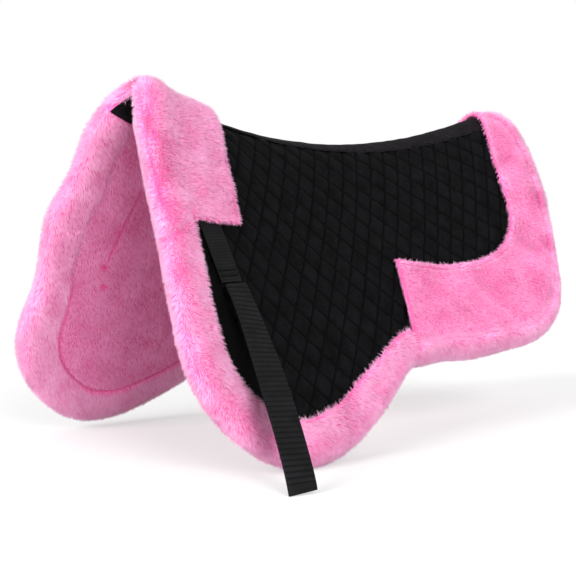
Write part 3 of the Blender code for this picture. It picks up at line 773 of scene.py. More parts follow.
# Where the pile is cut shorter: the place, the width and the share that is cut away
PARTING, PARTING_WIDTH, PARTING_CUT = 0.17, 0.035, 0.40      # across the front roll
CROWN, CROWN_WIDTH, CROWN_CUT = 0.45, 0.18, 0.16             # along the top of a roll
TROUGH, TROUGH_WIDTH, TROUGH_CUT = 0.64, 0.07, 0.30          # inside the patch's rolled edge
HEM_SEAM, HEM_SEAM_WIDTH, HEM_SEAM_CUT = 0.0055, 0.0010, 0.45  # from a cuff's hem, its stitching
SEAM_FLAT, SEAM_WIDTH, SEAM_CUT = 0.0004, 0.0036, 0.55       # from the lining's seam
PATCH_SHORN, CUFF_SHORN = 0.30, 0.08          # inside a cuff's edges
HEM_SHARE = 0.75              # share of the full pile that is left on a cuff's hem


# Faces round the section and along the piece
WITHER_FACES, FLAP_FACES, CANTLE_FACES = (110, 80), (64, 180), (120, 200)
LAYER_FACES, BAND_FACES, CLOTH_FACES = (110, 150), (220, 60), (240, 60)


def fur_edge_skin(name, rails, section, side, steps, settled, crest_rise, cut_back):
    """The leather side of a fur edge: its section swept along the rails.

    settled is the share by which the roll's top sinks toward the flap's roll, and crest_rise how
    much higher it stands over the spine; cut_back is how much sooner than the roll a cuff ends.
    """
    ring = closed_section(section, steps[0])

    def shape(s, t):
        a, h = read_line(ring, s, np.linspace(0.0, 1.0, len(ring))).T
        down = t * (1.0 - cut_back * ramp(a, 1.0, 0.12))
        outer, middle, inner = (read_line(rail, down * (RAIL_POINTS - 1)) for rail in rails)
        near = outer + (middle - outer) * a[:, None]
        far = middle + (inner - middle) * (a - 1.0)[:, None]
        place = np.where((a <= 1.0)[:, None], near, far)
        spot = np.column_stack((place, h))
        lump = sum(height * wave_field(spot, size, seed) for height, size, seed in LUMPS)
        crest = (crest_rise + max(crest_rise, 0.0) * 0.6 * (1.0 - ramp(a, 0.7, 0.5))) * (
            1.0 - smooth_step(place[:, 1] / CREST_RISE_REACH))
        upper = ramp(h, -0.006, 0.008) * smooth_step((2.00 - a) / 0.10)
        h = np.where(h > CUFF_UNDER + 0.0006, h - settled * cuff_settling(a, t), h)
        lowest = np.where(a > 1.0, np.minimum(h, CUFF_UNDER + CUFF_BODY), -1.0)
        h = np.maximum(h + (lump + crest) * upper, lowest)
        return place[:, 0], place[:, 1], h, a

    return sheet_from_grid(name, steps, shape, side)


def cuff_settling(across, along):
    """The cuff's roll drops to the height of the flap's roll where that one takes over."""
    return np.interp(across, SETTLED_ACROSS, SETTLED_DROP) * ramp(along, 0.80, 0.20)


def over_spine(piece, place_u=PAD_MIDDLE):
    """Bake a piece's transform into its mesh; the ridge point it reads on the spine is not used."""
    ridge = hang_point(place_u, 0.0, 0.0, 1.0)
    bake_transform(piece)


def seam_cut(u, v, seam):
    """Share of the pile's length beside the lining's seam, which the front roll's pile covers; the
    shorter pile there is also drawn darker, as painted shade in the seam.
    """
    shows = np.maximum(ramp(v, 0.222, 0.035), ramp(u, -0.05, 0.05))
    return 1.0 - SEAM_CUT * shows * (1.0 - ramp(seam, SEAM_FLAT, SEAM_WIDTH))


def trim_edge(place, rails):
    """Pile of a fur edge: none on its inner wall and cut ends, short along the lining's seam."""
    u, v, h, across, along = place.T
    seam = nearest_on_line(place[:, :2], rails[1])[0]
    cut = np.where(h < HORSE_SIDE, seam_cut(u, v, seam), 1.0)
    cut = cut * (1.0 - PARTING_CUT * bell(across, PARTING, PARTING_WIDTH) * (h > -0.007) * (u < -0.1)
                 * (1.0 - ramp(v, 0.130, 0.050)))
    cut = cut * (1.0 - CROWN_CUT * bell(across, CROWN, CROWN_WIDTH) * (h > -0.003) * (u < 0.06))
    inner_wall = (across > 0.97) & (h < 0.0) & (h > INNER_WALL)
    ends = (along < 1e-4) | ((along > 1.0 - 1e-4) & (across < 1.0))
    behind_cloth = ((h < -0.010) & (v < GULLET_CLOTH_HALF - 0.0005) & (u > gullet_front(v) + 0.0005)
                    & (u < gullet_rear(v) - 0.0005))
    return ~(inner_wall | ends | behind_cloth), cut


def trim_cuff(place, rails):
    """The same for an edge that is folded back over the cotton, with a groove along its hem."""
    grown, cut = trim_edge(place, rails)
    u, _, h, across, along = place.T
    underside = (across > 1.0) & (h < CUFF_SOLE)
    near_hem = (across > 1.975) | (along > 0.993)
    hidden_wall = (across > 0.97) & (across <= 1.03) & (h < CUFF_SOLE) & (h > INNER_WALL)
    hem = nearest_on_line(place[:, :2], rails[2])[0]
    stitched = 1.0 - HEM_SEAM_CUT * bell(hem, HEM_SEAM, HEM_SEAM_WIDTH) * (across > 1.0)
    inside = ramp(across, 0.70, 0.15) * ramp(hem, 0.0060, 0.0050)
    trough = bell(across, TROUGH, TROUGH_WIDTH) * (h > 0.0) * (u > 0.0)
    shorn = np.where(u > 0.0, PATCH_SHORN, CUFF_SHORN) * inside
    cut = cut * stitched * (1.0 - shorn - TROUGH_CUT * trough) * np.where(near_hem, HEM_SHARE, 1.0)
    return grown & ~(underside & ~near_hem) & ~hidden_wall, cut


class HalfPadColours(bpy.types.PropertyGroup):
    # pile_shade is the colour the pile takes as its tone falls, also where painted shade darkens cut pile
    pile_shade: FloatVectorProperty(
        name="Pile shade", description="Tint of the deeper tufts of the fur", subtype="COLOR",
        size=3, min=0.0, max=1.0, default=colour("#DA68A0")[:3])


class HalfPadPile(bpy.types.PropertyGroup):
    length: FloatProperty(name="Pile length", description="Length of a strand of the fur",
                          default=0.0074, unit="LENGTH")
    density: FloatProperty(name="Strands per mm2", description="Strands on each square millimetre",
                           default=1.15, min=0.01)
    strand_radius: FloatProperty(name="Strand radius", description="Radius of a strand at its root",
                                 default=0.00042, unit="LENGTH", precision=5)
    rooted: FloatProperty(name="Root depth", description="How far a strand starts under the skin",
                          default=0.0010, unit="LENGTH")
    brushed_size: FloatProperty(name="Brushed patch", description="Size of the brushed patches",
                                default=0.045, unit="LENGTH")
    tuft_size: FloatProperty(name="Tuft", description="Size of the small tufts",
                             default=0.0042, unit="LENGTH")
    brushed: FloatProperty(name="Brushing", description="Lean of the brushed patches", default=0.28)
    tufted: FloatProperty(name="Tufting", description="Lean into small tufts", default=0.05)
    loose: FloatProperty(name="Looseness", description="Lean of single strands", default=0.10)
    droop: FloatProperty(name="Droop", description="Lean of the pile downward", default=0.80)
    soft_shading: FloatProperty(name="Soft shading", description="How far strands shade as the skin",
                                default=0.75, min=0.0, max=1.0)


class HalfPadQuilt(bpy.types.PropertyGroup):
    puff: FloatProperty(name="Puff", description="Height of a diamond's middle over the pattern",
                        default=0.0015, unit="LENGTH")
    groove: FloatProperty(name="Groove", description="Depth of the stitch lines",
                          default=0.0020, unit="LENGTH")
    steps: IntProperty(name="Steps", description="Faces along a diamond's side", default=12, min=4)
    stitch: FloatProperty(name="Stitch", description="Length of one stitch", default=0.0034,
                          unit="LENGTH")


def quilt_rows(outline):
    """The range of diamonds, in both directions, that covers the outline."""
    corners = np.array([(u, v) for u in (outline[:, 0].min(), outline[:, 0].max())
                        for v in (outline[:, 1].min(), outline[:, 1].max())])
    cells = (corners - QUILT_ORIGIN) @ np.linalg.inv(QUILT_TO_PATTERN).T
    return np.floor(cells.min(axis=0)).astype(int), np.ceil(cells.max(axis=0)).astype(int)


def strap_shadow_strip(flat):
    """Share of the strip beside the front roll where the strap's shadow is painted: flat, unquilted
    cotton drawn near black, wider toward the flap's foot.
    """
    wither, flap = wither_rails()[1], flap_rails()[1]
    front = np.vstack((wither[wither[:, 1] > 0.120][:-1], flap[flap[:, 0] < -0.150]))
    distance = nearest_on_line(flat, front)[0]
    least, most = STRAP_SHADOW_WIDTHS
    width = least + (most - least) * ramp(flat[:, 1], 0.160, 0.130)
    return (1.0 - ramp(distance, width, STRAP_SHADOW_EDGE)) * ramp(flat[:, 1], 0.125, 0.020)


PILLOW_EDGE = 3.6             # higher is flatter on top of a diamond and steeper at its stitching
STRAP_SHADOW_SINK = 0.0008           # how much lower the flat strip of painted strap shadow lies
STRAP_SHADOW_WIDTHS = (0.010, 0.032)                 # of that strip, at its top and at the flap's foot
STRAP_SHADOW_EDGE = 0.004            # how soon the diamonds give way to it
LINE_POINTS, LEAST_POINTS = 1200, 20          # along a stitch line, and in a piece of one that is kept
CLOTH_THICKNESS = 0.0007
FOAM_INSET = 0.0036           # the wadding stops this far short of the rolls
LINING_TUCK = 0.0008          # the lining reaches this far under them


def quilt_mesh(name, side):
    """The cotton: diamonds that puff between the stitch lines, cut to the cover's outline."""
    settings = bpy.context.scene.half_pad_quilt
    outline = cover_outline()
    low, high = quilt_rows(outline)
    span = high - low
    mesh_data = bmesh.new()
    bmesh.ops.create_grid(mesh_data, x_segments=int(span[0]) * settings.steps,
                          y_segments=int(span[1]) * settings.steps, size=0.5)
    cells = (np.array([vert.co for vert in mesh_data.verts])[:, :2] + 0.5) * span + low
    flat = QUILT_ORIGIN + cells @ QUILT_TO_PATTERN.T
    for vert, (u, v) in zip(mesh_data.verts, flat):
        vert.co = (u, v, 0.0)
    middles = np.array([face.calc_center_median() for face in mesh_data.faces])[:, :2]
    outside = ~inside_outline(middles, outline)
    cut = [face for face, gone in zip(mesh_data.faces, outside) if gone]
    bmesh.ops.delete(mesh_data, geom=cut, context="FACES")
    rim = [vert for vert in mesh_data.verts if vert.is_boundary]
    closed = np.vstack((outline, outline[:1]))
    for vert, place in zip(rim, nearest_on_line(np.array([vert.co[:2] for vert in rim]), closed, 500)[1]):
        vert.co = (place[0], place[1], 0.0)
    flat = np.array([vert.co for vert in mesh_data.verts])[:, :2]
    cells = (flat - QUILT_ORIGIN) @ np.linalg.inv(QUILT_TO_PATTERN).T
    rise = 1.0 - np.abs(2.0 * (cells % 1.0) - 1.0) ** PILLOW_EDGE
    pillow = (rise[:, 0] * rise[:, 1]) ** 0.5
    spot = np.column_stack((flat, np.zeros(len(flat))))
    uneven = 1.0 + 0.22 * wave_field(spot, 0.035, 71)
    pucker = 0.00016 * wave_field(spot, 0.0042, 72) * (1.0 - pillow) * (pillow > 0.02)
    puff = settings.puff * ramp(flat[:, 1], 0.008, 0.020)
    height = -settings.groove + (puff + settings.groove) * pillow * uneven + pucker
    # painted shadow: the strap's shadow beside the front roll, as flat cotton that a cloth_rise of zero
    # turns near black
    plain = strap_shadow_strip(flat)
    pillow = pillow * (1.0 - plain)
    height = height * (1.0 - plain) - STRAP_SHADOW_SINK * plain
    # cloth_rise is low along the stitch lines and on the flat strip, where painted shade is drawn
    raised = mesh_data.verts.layers.float.new("cloth_rise")
    hung = hang(flat[:, 0], flat[:, 1], height, side)
    for vert, point, share in zip(mesh_data.verts, hung, pillow):
        vert.co = point
        vert[raised] = share
    bmesh.ops.recalc_face_normals(mesh_data, faces=mesh_data.faces)
    if sum(face.normal.x for face in mesh_data.faces) * side < 0.0:
        bmesh.ops.reverse_faces(mesh_data, faces=mesh_data.faces)
    return finish_mesh(name, mesh_data)


THREAD_RADIUS = 0.00028
STITCH_PITCH = 1.25           # from one stitch to the next, in stitches
STITCH_REACH = 0.0005         # the thread's direction is read this far to each side


def stitch_rows(lines, side, stitch, lift, name):
    """Stitches laid end to end along pattern lines, at a height over the cotton."""
    places, ways = [], []
    for line in lines:
        length = np.linalg.norm(np.diff(line, axis=0), axis=1).sum()
        count = max(2, int(length / (stitch * STITCH_PITCH)))
        row = even_line(line, count * 2 + 1)
        places.append(row[1::2])
        ways.append(row[2::2] - row[0:-1:2])
    places, ways = np.vstack(places), unit(np.vstack(ways))
    here, ahead, behind = (hang(*(places + ways * step).T, lift, side)
                           for step in (0.0, STITCH_REACH, -STITCH_REACH))
    run = unit(ahead - behind)
    above = unit(hang(*places.T, lift + MM, side) - here)
    across = unit(np.cross(run, above))
    points, faces = stamp(stitch_shape(), here, across * THREAD_RADIUS, run * stitch / 2,
                          above * THREAD_RADIUS)
    return link_mesh(name, triangles_mesh(name, points, faces), thread_material())


def quilt_lines(outline):
    """The stitch lines of the quilting, each cut off where the cotton ends."""
    low, high = quilt_rows(outline)
    lines = []
    for axis in (0, 1):
        for number in range(low[axis], high[axis] + 1):
            cells = np.zeros((LINE_POINTS, 2))
            cells[:, axis] = number
            cells[:, 1 - axis] = np.linspace(low[1 - axis], high[1 - axis], LINE_POINTS)
            flat = QUILT_ORIGIN + cells @ QUILT_TO_PATTERN.T
            # no stitching on the strip of painted strap shadow
            kept = inside_outline(flat, outline) & (strap_shadow_strip(flat) < 0.5)
            turns = np.flatnonzero(np.diff(kept.astype(int))) + 1
            for piece in np.split(np.arange(len(flat)), turns):
                if kept[piece[0]] and len(piece) > LEAST_POINTS:
                    lines.append(flat[piece])
    return lines


# Round a layer's section: up its head wall, down its top, round its foot and back under it
SECTION_STOPS = (0.0, 0.02, 0.48, 0.52, 0.98, 1.0)
SECTION_BACK = (0.5, 0.0, 0.0, 1.0, 1.0, 0.5)
SECTION_FOOT = (0.0, 0.0, 1.0, 1.0, 0.0, 0.0)


def panel_layer(name, h_top, h_back, side, inset):
    """A full layer of the panel between the spine and the line inside the rolls."""
    boundary = even_line(panel_boundary(inset), 300)
    head_u = (boundary[0, 0], boundary[-1, 0])
    thickness = h_top - h_back

    def shape(s, t):
        foot = read_line(boundary, s * (len(boundary) - 1))
        head = np.column_stack((head_u[0] + (head_u[1] - head_u[0]) * s, np.full(len(s), PANEL_TOP)))
        across = np.clip(1.0 - np.abs((t + 0.02) % 1.0 * 2.0 - 1.0) * 1.04, -0.04, 1.0)
        wall = np.interp(t, SECTION_STOPS, SECTION_BACK)
        down = np.interp(t, SECTION_STOPS, SECTION_FOOT)
        place = head + (foot - head) * down[:, None]
        return place[:, 0], place[:, 1], h_top - thickness * wall, across

    return sheet_from_grid(name, LAYER_FACES, shape, side)


class HALFPAD_OT_quilted_covers(bpy.types.Operator):
    """Make the quilted cotton, its stitching and the wadding under it, on both panels"""
    bl_idname = "half_pad.quilted_covers"
    bl_label = "Quilted covers"

    def execute(self, context):
        settings = context.scene.half_pad_quilt
        outline = cover_outline()
        lines = quilt_lines(outline)
        for label, side in SIDES.items():
            cover = link_mesh(f"{label}_quilted_cotton", quilt_mesh(label, side), cotton_material())
            thick = cover.modifiers.new("cloth", "SOLIDIFY")
            thick.thickness = CLOTH_THICKNESS
            thick.offset = -1.0
            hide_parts(label + "_quilted_cover")
            over_spine(cover)
            seams = stitch_rows(lines, side, settings.stitch, -settings.groove + 0.0002,
                                f"{label}_quilting_stitches")
            over_spine(seams)
            wadding = link_mesh(f"{label}_foam_sheet",
                                panel_layer(label, FOAM_TOP, FOAM_BACK, side, FOAM_INSET),
                                wadding_material())
            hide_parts(label + "_foam_core")
            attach(wadding, label + "_panel")
        return {"FINISHED"}


LINING_PILE_AND_SHADE = 0.74            # share of the full pile that the lining keeps, which through the pile's tone also darkens the whole lining as painted shade


def trim_lining(place):
    """Pile of the lining: sheared shorter, shortest along its seams and the strap's stitching; that cut
    also draws it darker, painted shade inside the panels.
    """
    u, v, h = place.T[:3]
    seam = nearest_on_line(place[:, :2], panel_boundary(0.0))[0]
    line = nearest_on_line(place[:, :2], np.array(STRAP_STITCH_LINE))[0]
    marks = np.min([np.linalg.norm(place[:, :2] - np.array(mark), axis=1)
                    for mark in STRAP_STITCH_MARKS], axis=0)
    cut = LINING_PILE_AND_SHADE * seam_cut(u, v, seam)
    cut = cut * (0.35 + 0.65 * ramp(line, 0.0002, 0.0018))
    cut = cut * (0.25 + 0.75 * ramp(marks, 0.0020, 0.0035))
    return (h < LINING_SKIN + 0.0015) & (v > GULLET_CLOTH_HALF - 0.0015), cut


class HALFPAD_OT_fur_linings(bpy.types.Operator):
    """Make the sheepskin on the horse's side of both panels"""
    bl_idname = "half_pad.fur_linings"
    bl_label = "Fur linings"

    def execute(self, context):
        for number, (label, side) in enumerate(SIDES.items()):
            skin = panel_layer(label, LINING_TOP, LINING_SKIN, side, -LINING_TUCK)
            piece = grow_pile(skin, f"{label}_lining_fleece", trim_lining, 500 + 50 * number)
            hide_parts(label + "_fur_lining")
            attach(piece, label + "_panel")
        return {"FINISHED"}


# Each fur edge: its node, the solid over the spine that it also replaces, its rails, section, trim
# and faces, whether it settles toward the flap's roll, its rise over the spine, how it is cut back
FUR_EDGES = (
    ("wither_cuff", ("wither_crown",), wither_rails, CUFF_SKIN, trim_cuff, WITHER_FACES,
     1.0, WITHER_RISE, WITHER_CUT_BACK),
    ("flap_roll", (), flap_rails, FLAP_SKIN, trim_edge, FLAP_FACES, 0.0, 0.0, 0.0),
    ("cantle_cuff", ("cantle_crown",), cantle_rails, PATCH_SKIN, trim_cuff, CANTLE_FACES,
     0.0, CANTLE_RISE, 0.0))


class HALFPAD_OT_fur_edges(bpy.types.Operator):
    """Make the rolled fur edges, the folded wither cuffs and the cantle patches"""
    bl_idname = "half_pad.fur_edges"
    bl_label = "Fur edges"

    def execute(self, context):
        for number, (label, side) in enumerate(SIDES.items()):
            for place, (node, also, lines, section, trim, faces, *form) in enumerate(FUR_EDGES):
                rails = lines()
                skin = fur_edge_skin(node, rails, section, side, faces, *form)
                piece = grow_pile(skin, f"{label}_{node}_fleece", lambda spots: trim(spots, rails),
                                  1000 + 200 * number + 40 * place)
                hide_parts(f"{label}_{node}", *also)
                if also:
                    over_spine(piece, float(rails[0][0, 0]))
                else:
                    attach(piece, label + "_panel")
        return {"FINISHED"}


def band_width(u):
    """The binding's half width: it narrows toward the withers."""
    places, widths = zip(*BAND_WIDTHS)
    return np.interp(u, places, widths)


def band_relief(u, v):
    """The binding is drawn in under its stitching and wavers a little along its length."""
    spot = np.column_stack((u, v, np.zeros(len(u))))
    stitched = bell(np.abs(v), band_width(u) - BAND_SEAM, BAND_SEAM_WIDTH)
    return BAND_WAVER * wave_field(spot, 0.025, 81) - BAND_DRAWN_IN * stitched


def band_half(name, side):
    """One half of the binding over the spine: a closed layer from the ridge to its rounded edge."""
    start, end = BAND_ENDS
    middle, half = (BAND_TOP + BAND_UNDER) / 2, (BAND_TOP - BAND_UNDER) / 2

    def shape(s, t):
        loop = 1.0 - np.abs(2.0 * t - 1.0)
        u = start + (end - start) * s
        v = band_width(u) * loop
        edge = np.clip((1.0 - loop) * band_width(u) / BAND_ROUNDING, 0.0, 1.0)
        h = middle + np.where(t < 0.5, 1.0, -1.0) * half * np.sqrt(edge * (2.0 - edge))
        return u, v, h + band_relief(u, v), loop
    return sheet_from_grid(name, BAND_FACES, shape, side)


class HALFPAD_OT_spine(bpy.types.Operator):
    """Make the binding over the spine and the black cloth in the gullet"""
    bl_idname = "half_pad.spine"
    bl_label = "Spine"

    def execute(self, context):
        for label, side in SIDES.items():
            band = link_mesh(f"{label}_spine_binding", band_half(label, side), binding_material())
            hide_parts("spine_band")
            cloth = link_mesh(f"{label}_gullet_cloth", gullet_half(label, side), binding_material())
            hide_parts("gullet_lining")
            along = np.linspace(BAND_ENDS[0] + 0.002, BAND_ENDS[1] - 0.002, 200)
            row = np.column_stack((along, band_width(along) - BAND_SEAM))
            seam = stitch_rows([row], side, BAND_STITCH, BAND_TOP + 0.0001,
                               f"{label}_binding_stitches")
            for piece in (band, cloth, seam):
                over_spine(piece)
        return {"FINISHED"}


def gullet_front(v):
    """Front edge of the black cloth, just inside the front roll's outer edge."""
    return -0.2118 - 0.4315 * v


def gullet_rear(v):
    """Its rear edge, inside the rear roll."""
    return 0.338 + 0.35 * v


ROLL_UNDER = -0.0226          # height of the cloth where it goes round a roll's underside
FRONT_CLIMB = (-0.176, 0.30, 0.012)           # where it starts to at the spine, its slant, its reach
REAR_CLIMB = (0.316, 0.20, 0.010)


def gullet_half(name, side):
    """Black cloth over the channel and on round the rolls' undersides, to where the fur begins."""
    def shape(s, t):
        loop = 1.0 - np.abs(2.0 * t - 1.0)
        v = GULLET_CLOTH_HALF * loop
        u = gullet_front(v) + (gullet_rear(v) - gullet_front(v)) * s
        rim = 1.0 - loop
        spine_side = GULLET_BACK / CREST_THINNING
        beside = spine_side + (LINING_SKIN - 0.0016 - spine_side) * ramp(v, 0.012, 0.014)
        front, front_slant, front_reach = FRONT_CLIMB
        rear, rear_slant, rear_reach = REAR_CLIMB
        over_roll = np.maximum(smooth_step((front - front_slant * v - u) / front_reach),
                               smooth_step((u - rear + rear_slant * v) / rear_reach))
        h = beside + (ROLL_UNDER - beside) * over_roll
        return u, v, h + np.where(t < 0.5, 0.0010, 0.0) * smooth_step(rim / 0.05), loop
    return sheet_from_grid(name, CLOTH_FACES, shape, side)


def webbing_axes(label):
    """Where the sewn webbing lies: its top, its fold, and its directions."""
    side = SIDES[label]
    top, fold = hang_point(*STRAP_TOP, side), hang_point(*STRAP_FOLD, side)
    run = (fold - top).normalized()
    wide = run.cross(panel_face(STRAP_FOLD[0], STRAP_FOLD[1], side)).normalized()
    return top, fold, run, wide, wide.cross(run).normalized()


def hanging_route(start, way_out, wide, foot, foot_face):
    """The near strap: square out of its fold, then down to its foot while it turns its face."""
    way_in = Vector(LEFT_FOOT_WAY).normalized()
    corners = [np.array(point) for point in (
        start, start + way_out * LEFT_HANDLES[0], foot - way_in * LEFT_HANDLES[1], foot)]
    t = np.linspace(0.0, 1.0, ROUTE_POINTS)[:, None]
    curve = ((1 - t) ** 3 * corners[0] + 3 * (1 - t) ** 2 * t * corners[1]
             + 3 * (1 - t) * t * t * corners[2] + t ** 3 * corners[3])
    line = even_line(curve, ROUTE_POINTS)
    ways = unit(np.gradient(line, axis=0))
    first_face = wide.cross(way_out).normalized()

    def route(share):
        at = share * (len(line) - 1)
        middle, way = (Vector(read_line(rows, at)[0]) for rows in (line, ways))
        turned = smooth_step(share / LEFT_TURN)
        across = way.cross(first_face.lerp(foot_face, turned)).normalized()
        return middle, across, across.cross(way).normalized()
    return route


def laid_route(start, side):
    """The far strap: laid straight back along its panel, with a slight bow."""
    face, aim_face = (panel_face(*place[:2], side) for place in (STRAP_FOLD, RIGHT_AIM))
    end = start + (hang_point(*RIGHT_AIM, side) - start).normalized() * STRAP_LENGTH
    way_down = (end - start).normalized()
    out_end = way_down.cross(aim_face).normalized().cross(way_down).normalized()

    def route(t):
        middle = start.lerp(end, t) + out_end * RIGHT_BOW * 4.0 * t * (1.0 - t)
        way = (way_down + out_end * RIGHT_BOW * 4.0 * (1.0 - 2.0 * t) / STRAP_LENGTH).normalized()
        wide = way.cross(face.lerp(aim_face, t)).normalized()
        return middle, wide, wide.cross(way).normalized()
    return route


def strap_route(label):
    """The free strap's middle line, width direction and normal at any share of its length."""
    _, fold, run, wide, out = webbing_axes(label)
    past, lift = LEFT_START if label == "left" else RIGHT_START
    start = fold + run * past + out * lift
    if label == "right":
        return laid_route(start, SIDES[label])
    foot = Vector(LEFT_AIM) + Vector((0, 0, GROUND))
    return hanging_route(start, run * math.cos(LEFT_LIFT) + out * math.sin(LEFT_LIFT), wide, foot,
                         Vector(LEFT_FACE).normalized())


GROOVE_SHARE = 0.17           # half width of the groove between two ribs, as a share of their pitch
EDGE_ROUNDING = 3.2           # two is a plain oval section, and higher is flatter with tighter edges
# Ribs' pitch and depth, the flat hem at the end, and the faces round and along
ANCHOR_RIBS = (0.0034, 0.00025, 0.0, (48, 300))
STRAP_RIBS = (0.0058, 0.00070, 0.009, (48, 560))
BARTACK_INSETS = (0.0075, 0.0135)             # from the sewn webbing's lower end
BARTACK_LENGTH = 0.026
BARTACK_STITCHES = 46
BARTACK_LEAN = 0.35
BARTACK_THREAD = (0.00042, 0.0013, 0.00048)   # a stitch's half width, half length and half height
BARTACK_LIFT = 0.00035
ROUTE_POINTS = 400


def ribbed_webbing(name, route, length, thickness, pitch, depth, flat_end, steps):
    """Webbing as a closed band: broad ribs across it, rounded edges, a flat hem at its end."""
    mesh_data = bmesh.new()
    around, along = steps
    bmesh.ops.create_grid(mesh_data, x_segments=along, y_segments=around, size=0.5)
    raised = mesh_data.verts.layers.float.new("cloth_rise")
    for vert in mesh_data.verts:
        t = vert.co.x + 0.5
        turn = (vert.co.y + 0.5) * 2.0 * math.pi
        middle, wide, normal = route(t)
        x = math.copysign(abs(math.cos(turn)) ** (2 / (EDGE_ROUNDING * 3)), math.cos(turn))
        y = math.copysign(abs(math.sin(turn)) ** (2 / EDGE_ROUNDING), math.sin(turn))
        down = t * length
        rib = 1.0 - math.exp(-((down / pitch - round(down / pitch)) / GROOVE_SHARE) ** 2)
        if length - down < flat_end:
            rib = 0.8
        selvedge = min(1.0, (1.0 - abs(x)) / 0.10)
        # cloth_rise is low between ribs and toward the edges, where the painted shade is drawn
        vert[raised] = 0.25 + 0.5 * rib * (0.4 + 0.6 * selvedge)
        deep = depth * (rib - 1.0) * selvedge
        vert.co = middle + wide * x * STRAP_WIDTH / 2 + normal * y * (thickness / 2 + deep)
    bmesh.ops.remove_doubles(mesh_data, verts=mesh_data.verts, dist=0.00001)
    bmesh.ops.holes_fill(mesh_data, edges=[edge for edge in mesh_data.edges if edge.is_boundary])
    bmesh.ops.recalc_face_normals(mesh_data, faces=mesh_data.faces)
    return link_mesh(name, finish_mesh(name, mesh_data), webbing_material())


class HALFPAD_OT_webbing(bpy.types.Operator):
    """Make the sewn webbing, its bartacks and the free strap, on both panels"""
    bl_idname = "half_pad.webbing"
    bl_label = "Webbing straps"

    def execute(self, context):
        for label in SIDES:
            top, fold, run, wide, out = webbing_axes(label)
            sewn = (fold - top).length - FOLD_GAP
            anchor = ribbed_webbing(f"{label}_sewn_webbing",
                                    lambda t: (top + run * sewn * t, wide, out), sewn,
                                    ANCHOR_THICKNESS, *ANCHOR_RIBS)
            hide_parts(label + "_strap_anchor")
            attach(anchor, label + "_panel")
            strap = ribbed_webbing(f"{label}_free_webbing", strap_route(label), STRAP_LENGTH,
                                   STRAP_THICKNESS, *STRAP_RIBS)
            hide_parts(label + "_strap")
            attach(strap, label + "_free_strap")
            for number, inset in enumerate(BARTACK_INSETS, 1):
                tack = bartack(f"{label}_bartack_{number}",
                               fold - run * (FOLD_GAP + inset) + out * (ANCHOR_THICKNESS / 2), wide,
                               run, out)
                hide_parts(f"{label}_strap_bartack_{number}")
                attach(tack, label + "_panel")
        return {"FINISHED"}


def bartack(name, middle, wide, run, out):
    """A dense zigzag of thread across the webbing."""
    count = BARTACK_STITCHES
    shares = (np.arange(count) + 0.5) / count - 0.5
    half_width, half_length, half_height = BARTACK_THREAD
    centre = np.array(middle) + np.outer(shares * BARTACK_LENGTH, wide) + np.array(out) * BARTACK_LIFT
    lean = np.where(np.arange(count) % 2 == 0, BARTACK_LEAN, -BARTACK_LEAN)[:, None]
    length = unit(np.array(run) + lean * np.array(wide)) * half_length
    across = unit(np.cross(length, np.array(out))) * half_width
    up = np.tile(np.array(out) * half_height, (count, 1))
    points, faces = stamp(stitch_shape(), centre, across, length, up)
    return link_mesh(name, triangles_mesh(name, points, faces), thread_material())


# Lights: azimuth, elevation and softness in degrees, measured as the camera's angles are
KEY_LIGHT = (72.0, 24.0, 29.0)
FRONT_LIGHT = (4.0, 22.0, 34.0)
FLOOR_SIZE = 6.0
FLOOR_TINT, FLOOR_SEEN, FLOOR_LIFT = 0.88, 0.47, 0.42   # as light meets it, as seen, and its glow


class HalfPadStage(bpy.types.PropertyGroup):
    key_strength: FloatProperty(name="Key light", description="Strength of the main soft light",
                                default=2.85, min=0.0)
    front_strength: FloatProperty(name="Front light", description="Strength of the low front light",
                                  default=4.15, min=0.0)
    sky: FloatProperty(name="Sky", description="Strength of the even light all round", default=0.64,
                       min=0.0)


def soft_sun(name, azimuth, elevation, softness, strength):
    """A large even light; the angles are in degrees, measured as the camera's are."""
    data = bpy.data.lights.new(name, "SUN")
    data.energy = strength
    data.angle = math.radians(softness)
    lamp = bpy.data.objects.new(name, data)
    bpy.context.scene.collection.objects.link(lamp)
    lamp.rotation_euler = (-look_back(math.radians(azimuth), math.radians(elevation))).to_track_quat(
        "-Z", "Y").to_euler()


def look_back(azimuth, elevation):
    """Direction from the object toward a lamp or the camera."""
    return Vector((math.sin(azimuth) * math.cos(elevation), -math.cos(azimuth) * math.cos(elevation),
                   math.sin(elevation)))


def make_floor():
    """A white paper sweep on the ground."""
    mesh_data = bmesh.new()
    bmesh.ops.create_grid(mesh_data, x_segments=1, y_segments=1, size=FLOOR_SIZE)
    bmesh.ops.translate(mesh_data, verts=mesh_data.verts, vec=(0.0, 0.0, GROUND))
    material, tree, shader = new_material("white_paper_sweep", {
        "Roughness": 0.9, "Specular IOR Level": 0.1, "Emission Color": WHITE})
    seen = add_node(tree, "ShaderNodeLightPath").outputs["Is Camera Ray"]
    paper = mix_colours(tree, seen, (FLOOR_TINT,) * 3 + (1.0,), (FLOOR_SEEN,) * 3 + (1.0,))
    lifted = add_node(tree, "ShaderNodeMath", {0: seen, 1: FLOOR_LIFT}, operation="MULTIPLY")
    tree.links.new(paper, shader.inputs["Base Color"])
    tree.links.new(lifted.outputs["Value"], shader.inputs["Emission Strength"])
    link_mesh("floor", finish_mesh("floor", mesh_data), material)


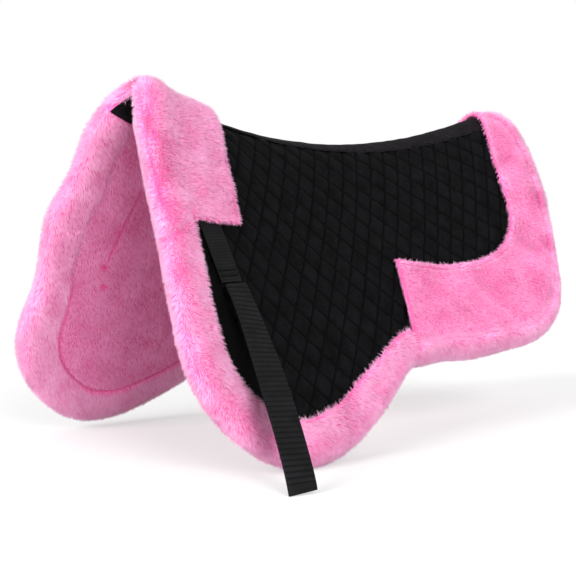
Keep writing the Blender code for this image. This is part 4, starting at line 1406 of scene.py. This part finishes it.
def make_sky(strength):
    """Even light all round, and plain white where the camera or a reflection looks at it."""
    world = bpy.data.worlds.new("studio")
    bpy.context.scene.world = world
    world.use_nodes = True
    tree = world.node_tree
    background = tree.nodes["Background"]
    path = add_node(tree, "ShaderNodeLightPath")
    seen = path.outputs["Is Camera Ray"]
    for other in ("Is Glossy Ray", "Is Transmission Ray"):
        seen = add_node(tree, "ShaderNodeMath", {0: seen, 1: path.outputs[other]},
                        operation="MAXIMUM").outputs["Value"]
    level = add_node(tree, "ShaderNodeMix", {"Factor": seen, "A": strength, "B": 1.0},
                     data_type="FLOAT")
    background.inputs["Color"].default_value = WHITE
    tree.links.new(level.outputs["Result"], background.inputs["Strength"])


def make_camera():
    """The camera, where the photograph was taken from."""
    data = bpy.data.cameras.new("camera")
    data.lens = CAMERA_LENS
    data.sensor_width = CAMERA_SENSOR
    data.sensor_fit = "HORIZONTAL"
    camera = bpy.data.objects.new("camera", data)
    bpy.context.scene.collection.objects.link(camera)
    back = look_back(CAMERA_AZIMUTH, CAMERA_ELEVATION)
    camera.location = CAMERA_TARGET + back * CAMERA_DISTANCE
    camera.rotation_euler = (-back).to_track_quat("-Z", "Y").to_euler()
    bpy.context.scene.camera = camera


class HALFPAD_OT_stage(bpy.types.Operator):
    """Make the floor, the soft light and the camera"""
    bl_idname = "half_pad.stage"
    bl_label = "Stage"

    def execute(self, context):
        settings = context.scene.half_pad_stage
        make_floor()
        make_sky(settings.sky)
        soft_sun("key_light", *KEY_LIGHT, settings.key_strength)
        soft_sun("front_light", *FRONT_LIGHT, settings.front_strength)
        make_camera()
        context.scene.view_settings.view_transform = "Standard"
        return {"FINISHED"}


class HALFPAD_PT_panel(bpy.types.Panel):
    """Buttons for the half pad's pieces"""
    bl_idname = "HALFPAD_PT_panel"
    bl_label = "Half pad"
    bl_space_type = "VIEW_3D"
    bl_region_type = "UI"
    bl_category = "Half Pad"

    def draw(self, context):
        for group in ("half_pad_pile", "half_pad_quilt", "half_pad_colours", "half_pad_stage"):
            settings = getattr(context.scene, group)
            for key in settings.__annotations__:
                self.layout.prop(settings, key)
        for operator in OPERATORS:
            self.layout.operator(operator.bl_idname)


GROUPS = {"half_pad_pile": HalfPadPile, "half_pad_quilt": HalfPadQuilt,
          "half_pad_colours": HalfPadColours, "half_pad_stage": HalfPadStage}
OPERATORS = (HALFPAD_OT_stage, HALFPAD_OT_quilted_covers, HALFPAD_OT_spine, HALFPAD_OT_webbing,
             HALFPAD_OT_fur_linings, HALFPAD_OT_fur_edges)


CLASSES = (*GROUPS.values(), *OPERATORS, HALFPAD_PT_panel)


def register():
    for item in CLASSES:
        bpy.utils.register_class(item)
    for name, group in GROUPS.items():
        setattr(bpy.types.Scene, name, PointerProperty(type=group))


def unregister():
    for name in GROUPS:
        delattr(bpy.types.Scene, name)
    for item in reversed(CLASSES):
        bpy.utils.unregister_class(item)


def main():
    register()
    for make in (bpy.ops.half_pad.stage, bpy.ops.half_pad.quilted_covers, bpy.ops.half_pad.spine,
                 bpy.ops.half_pad.webbing, bpy.ops.half_pad.fur_linings, bpy.ops.half_pad.fur_edges):
        make()


if __name__ == "__main__":
    main()
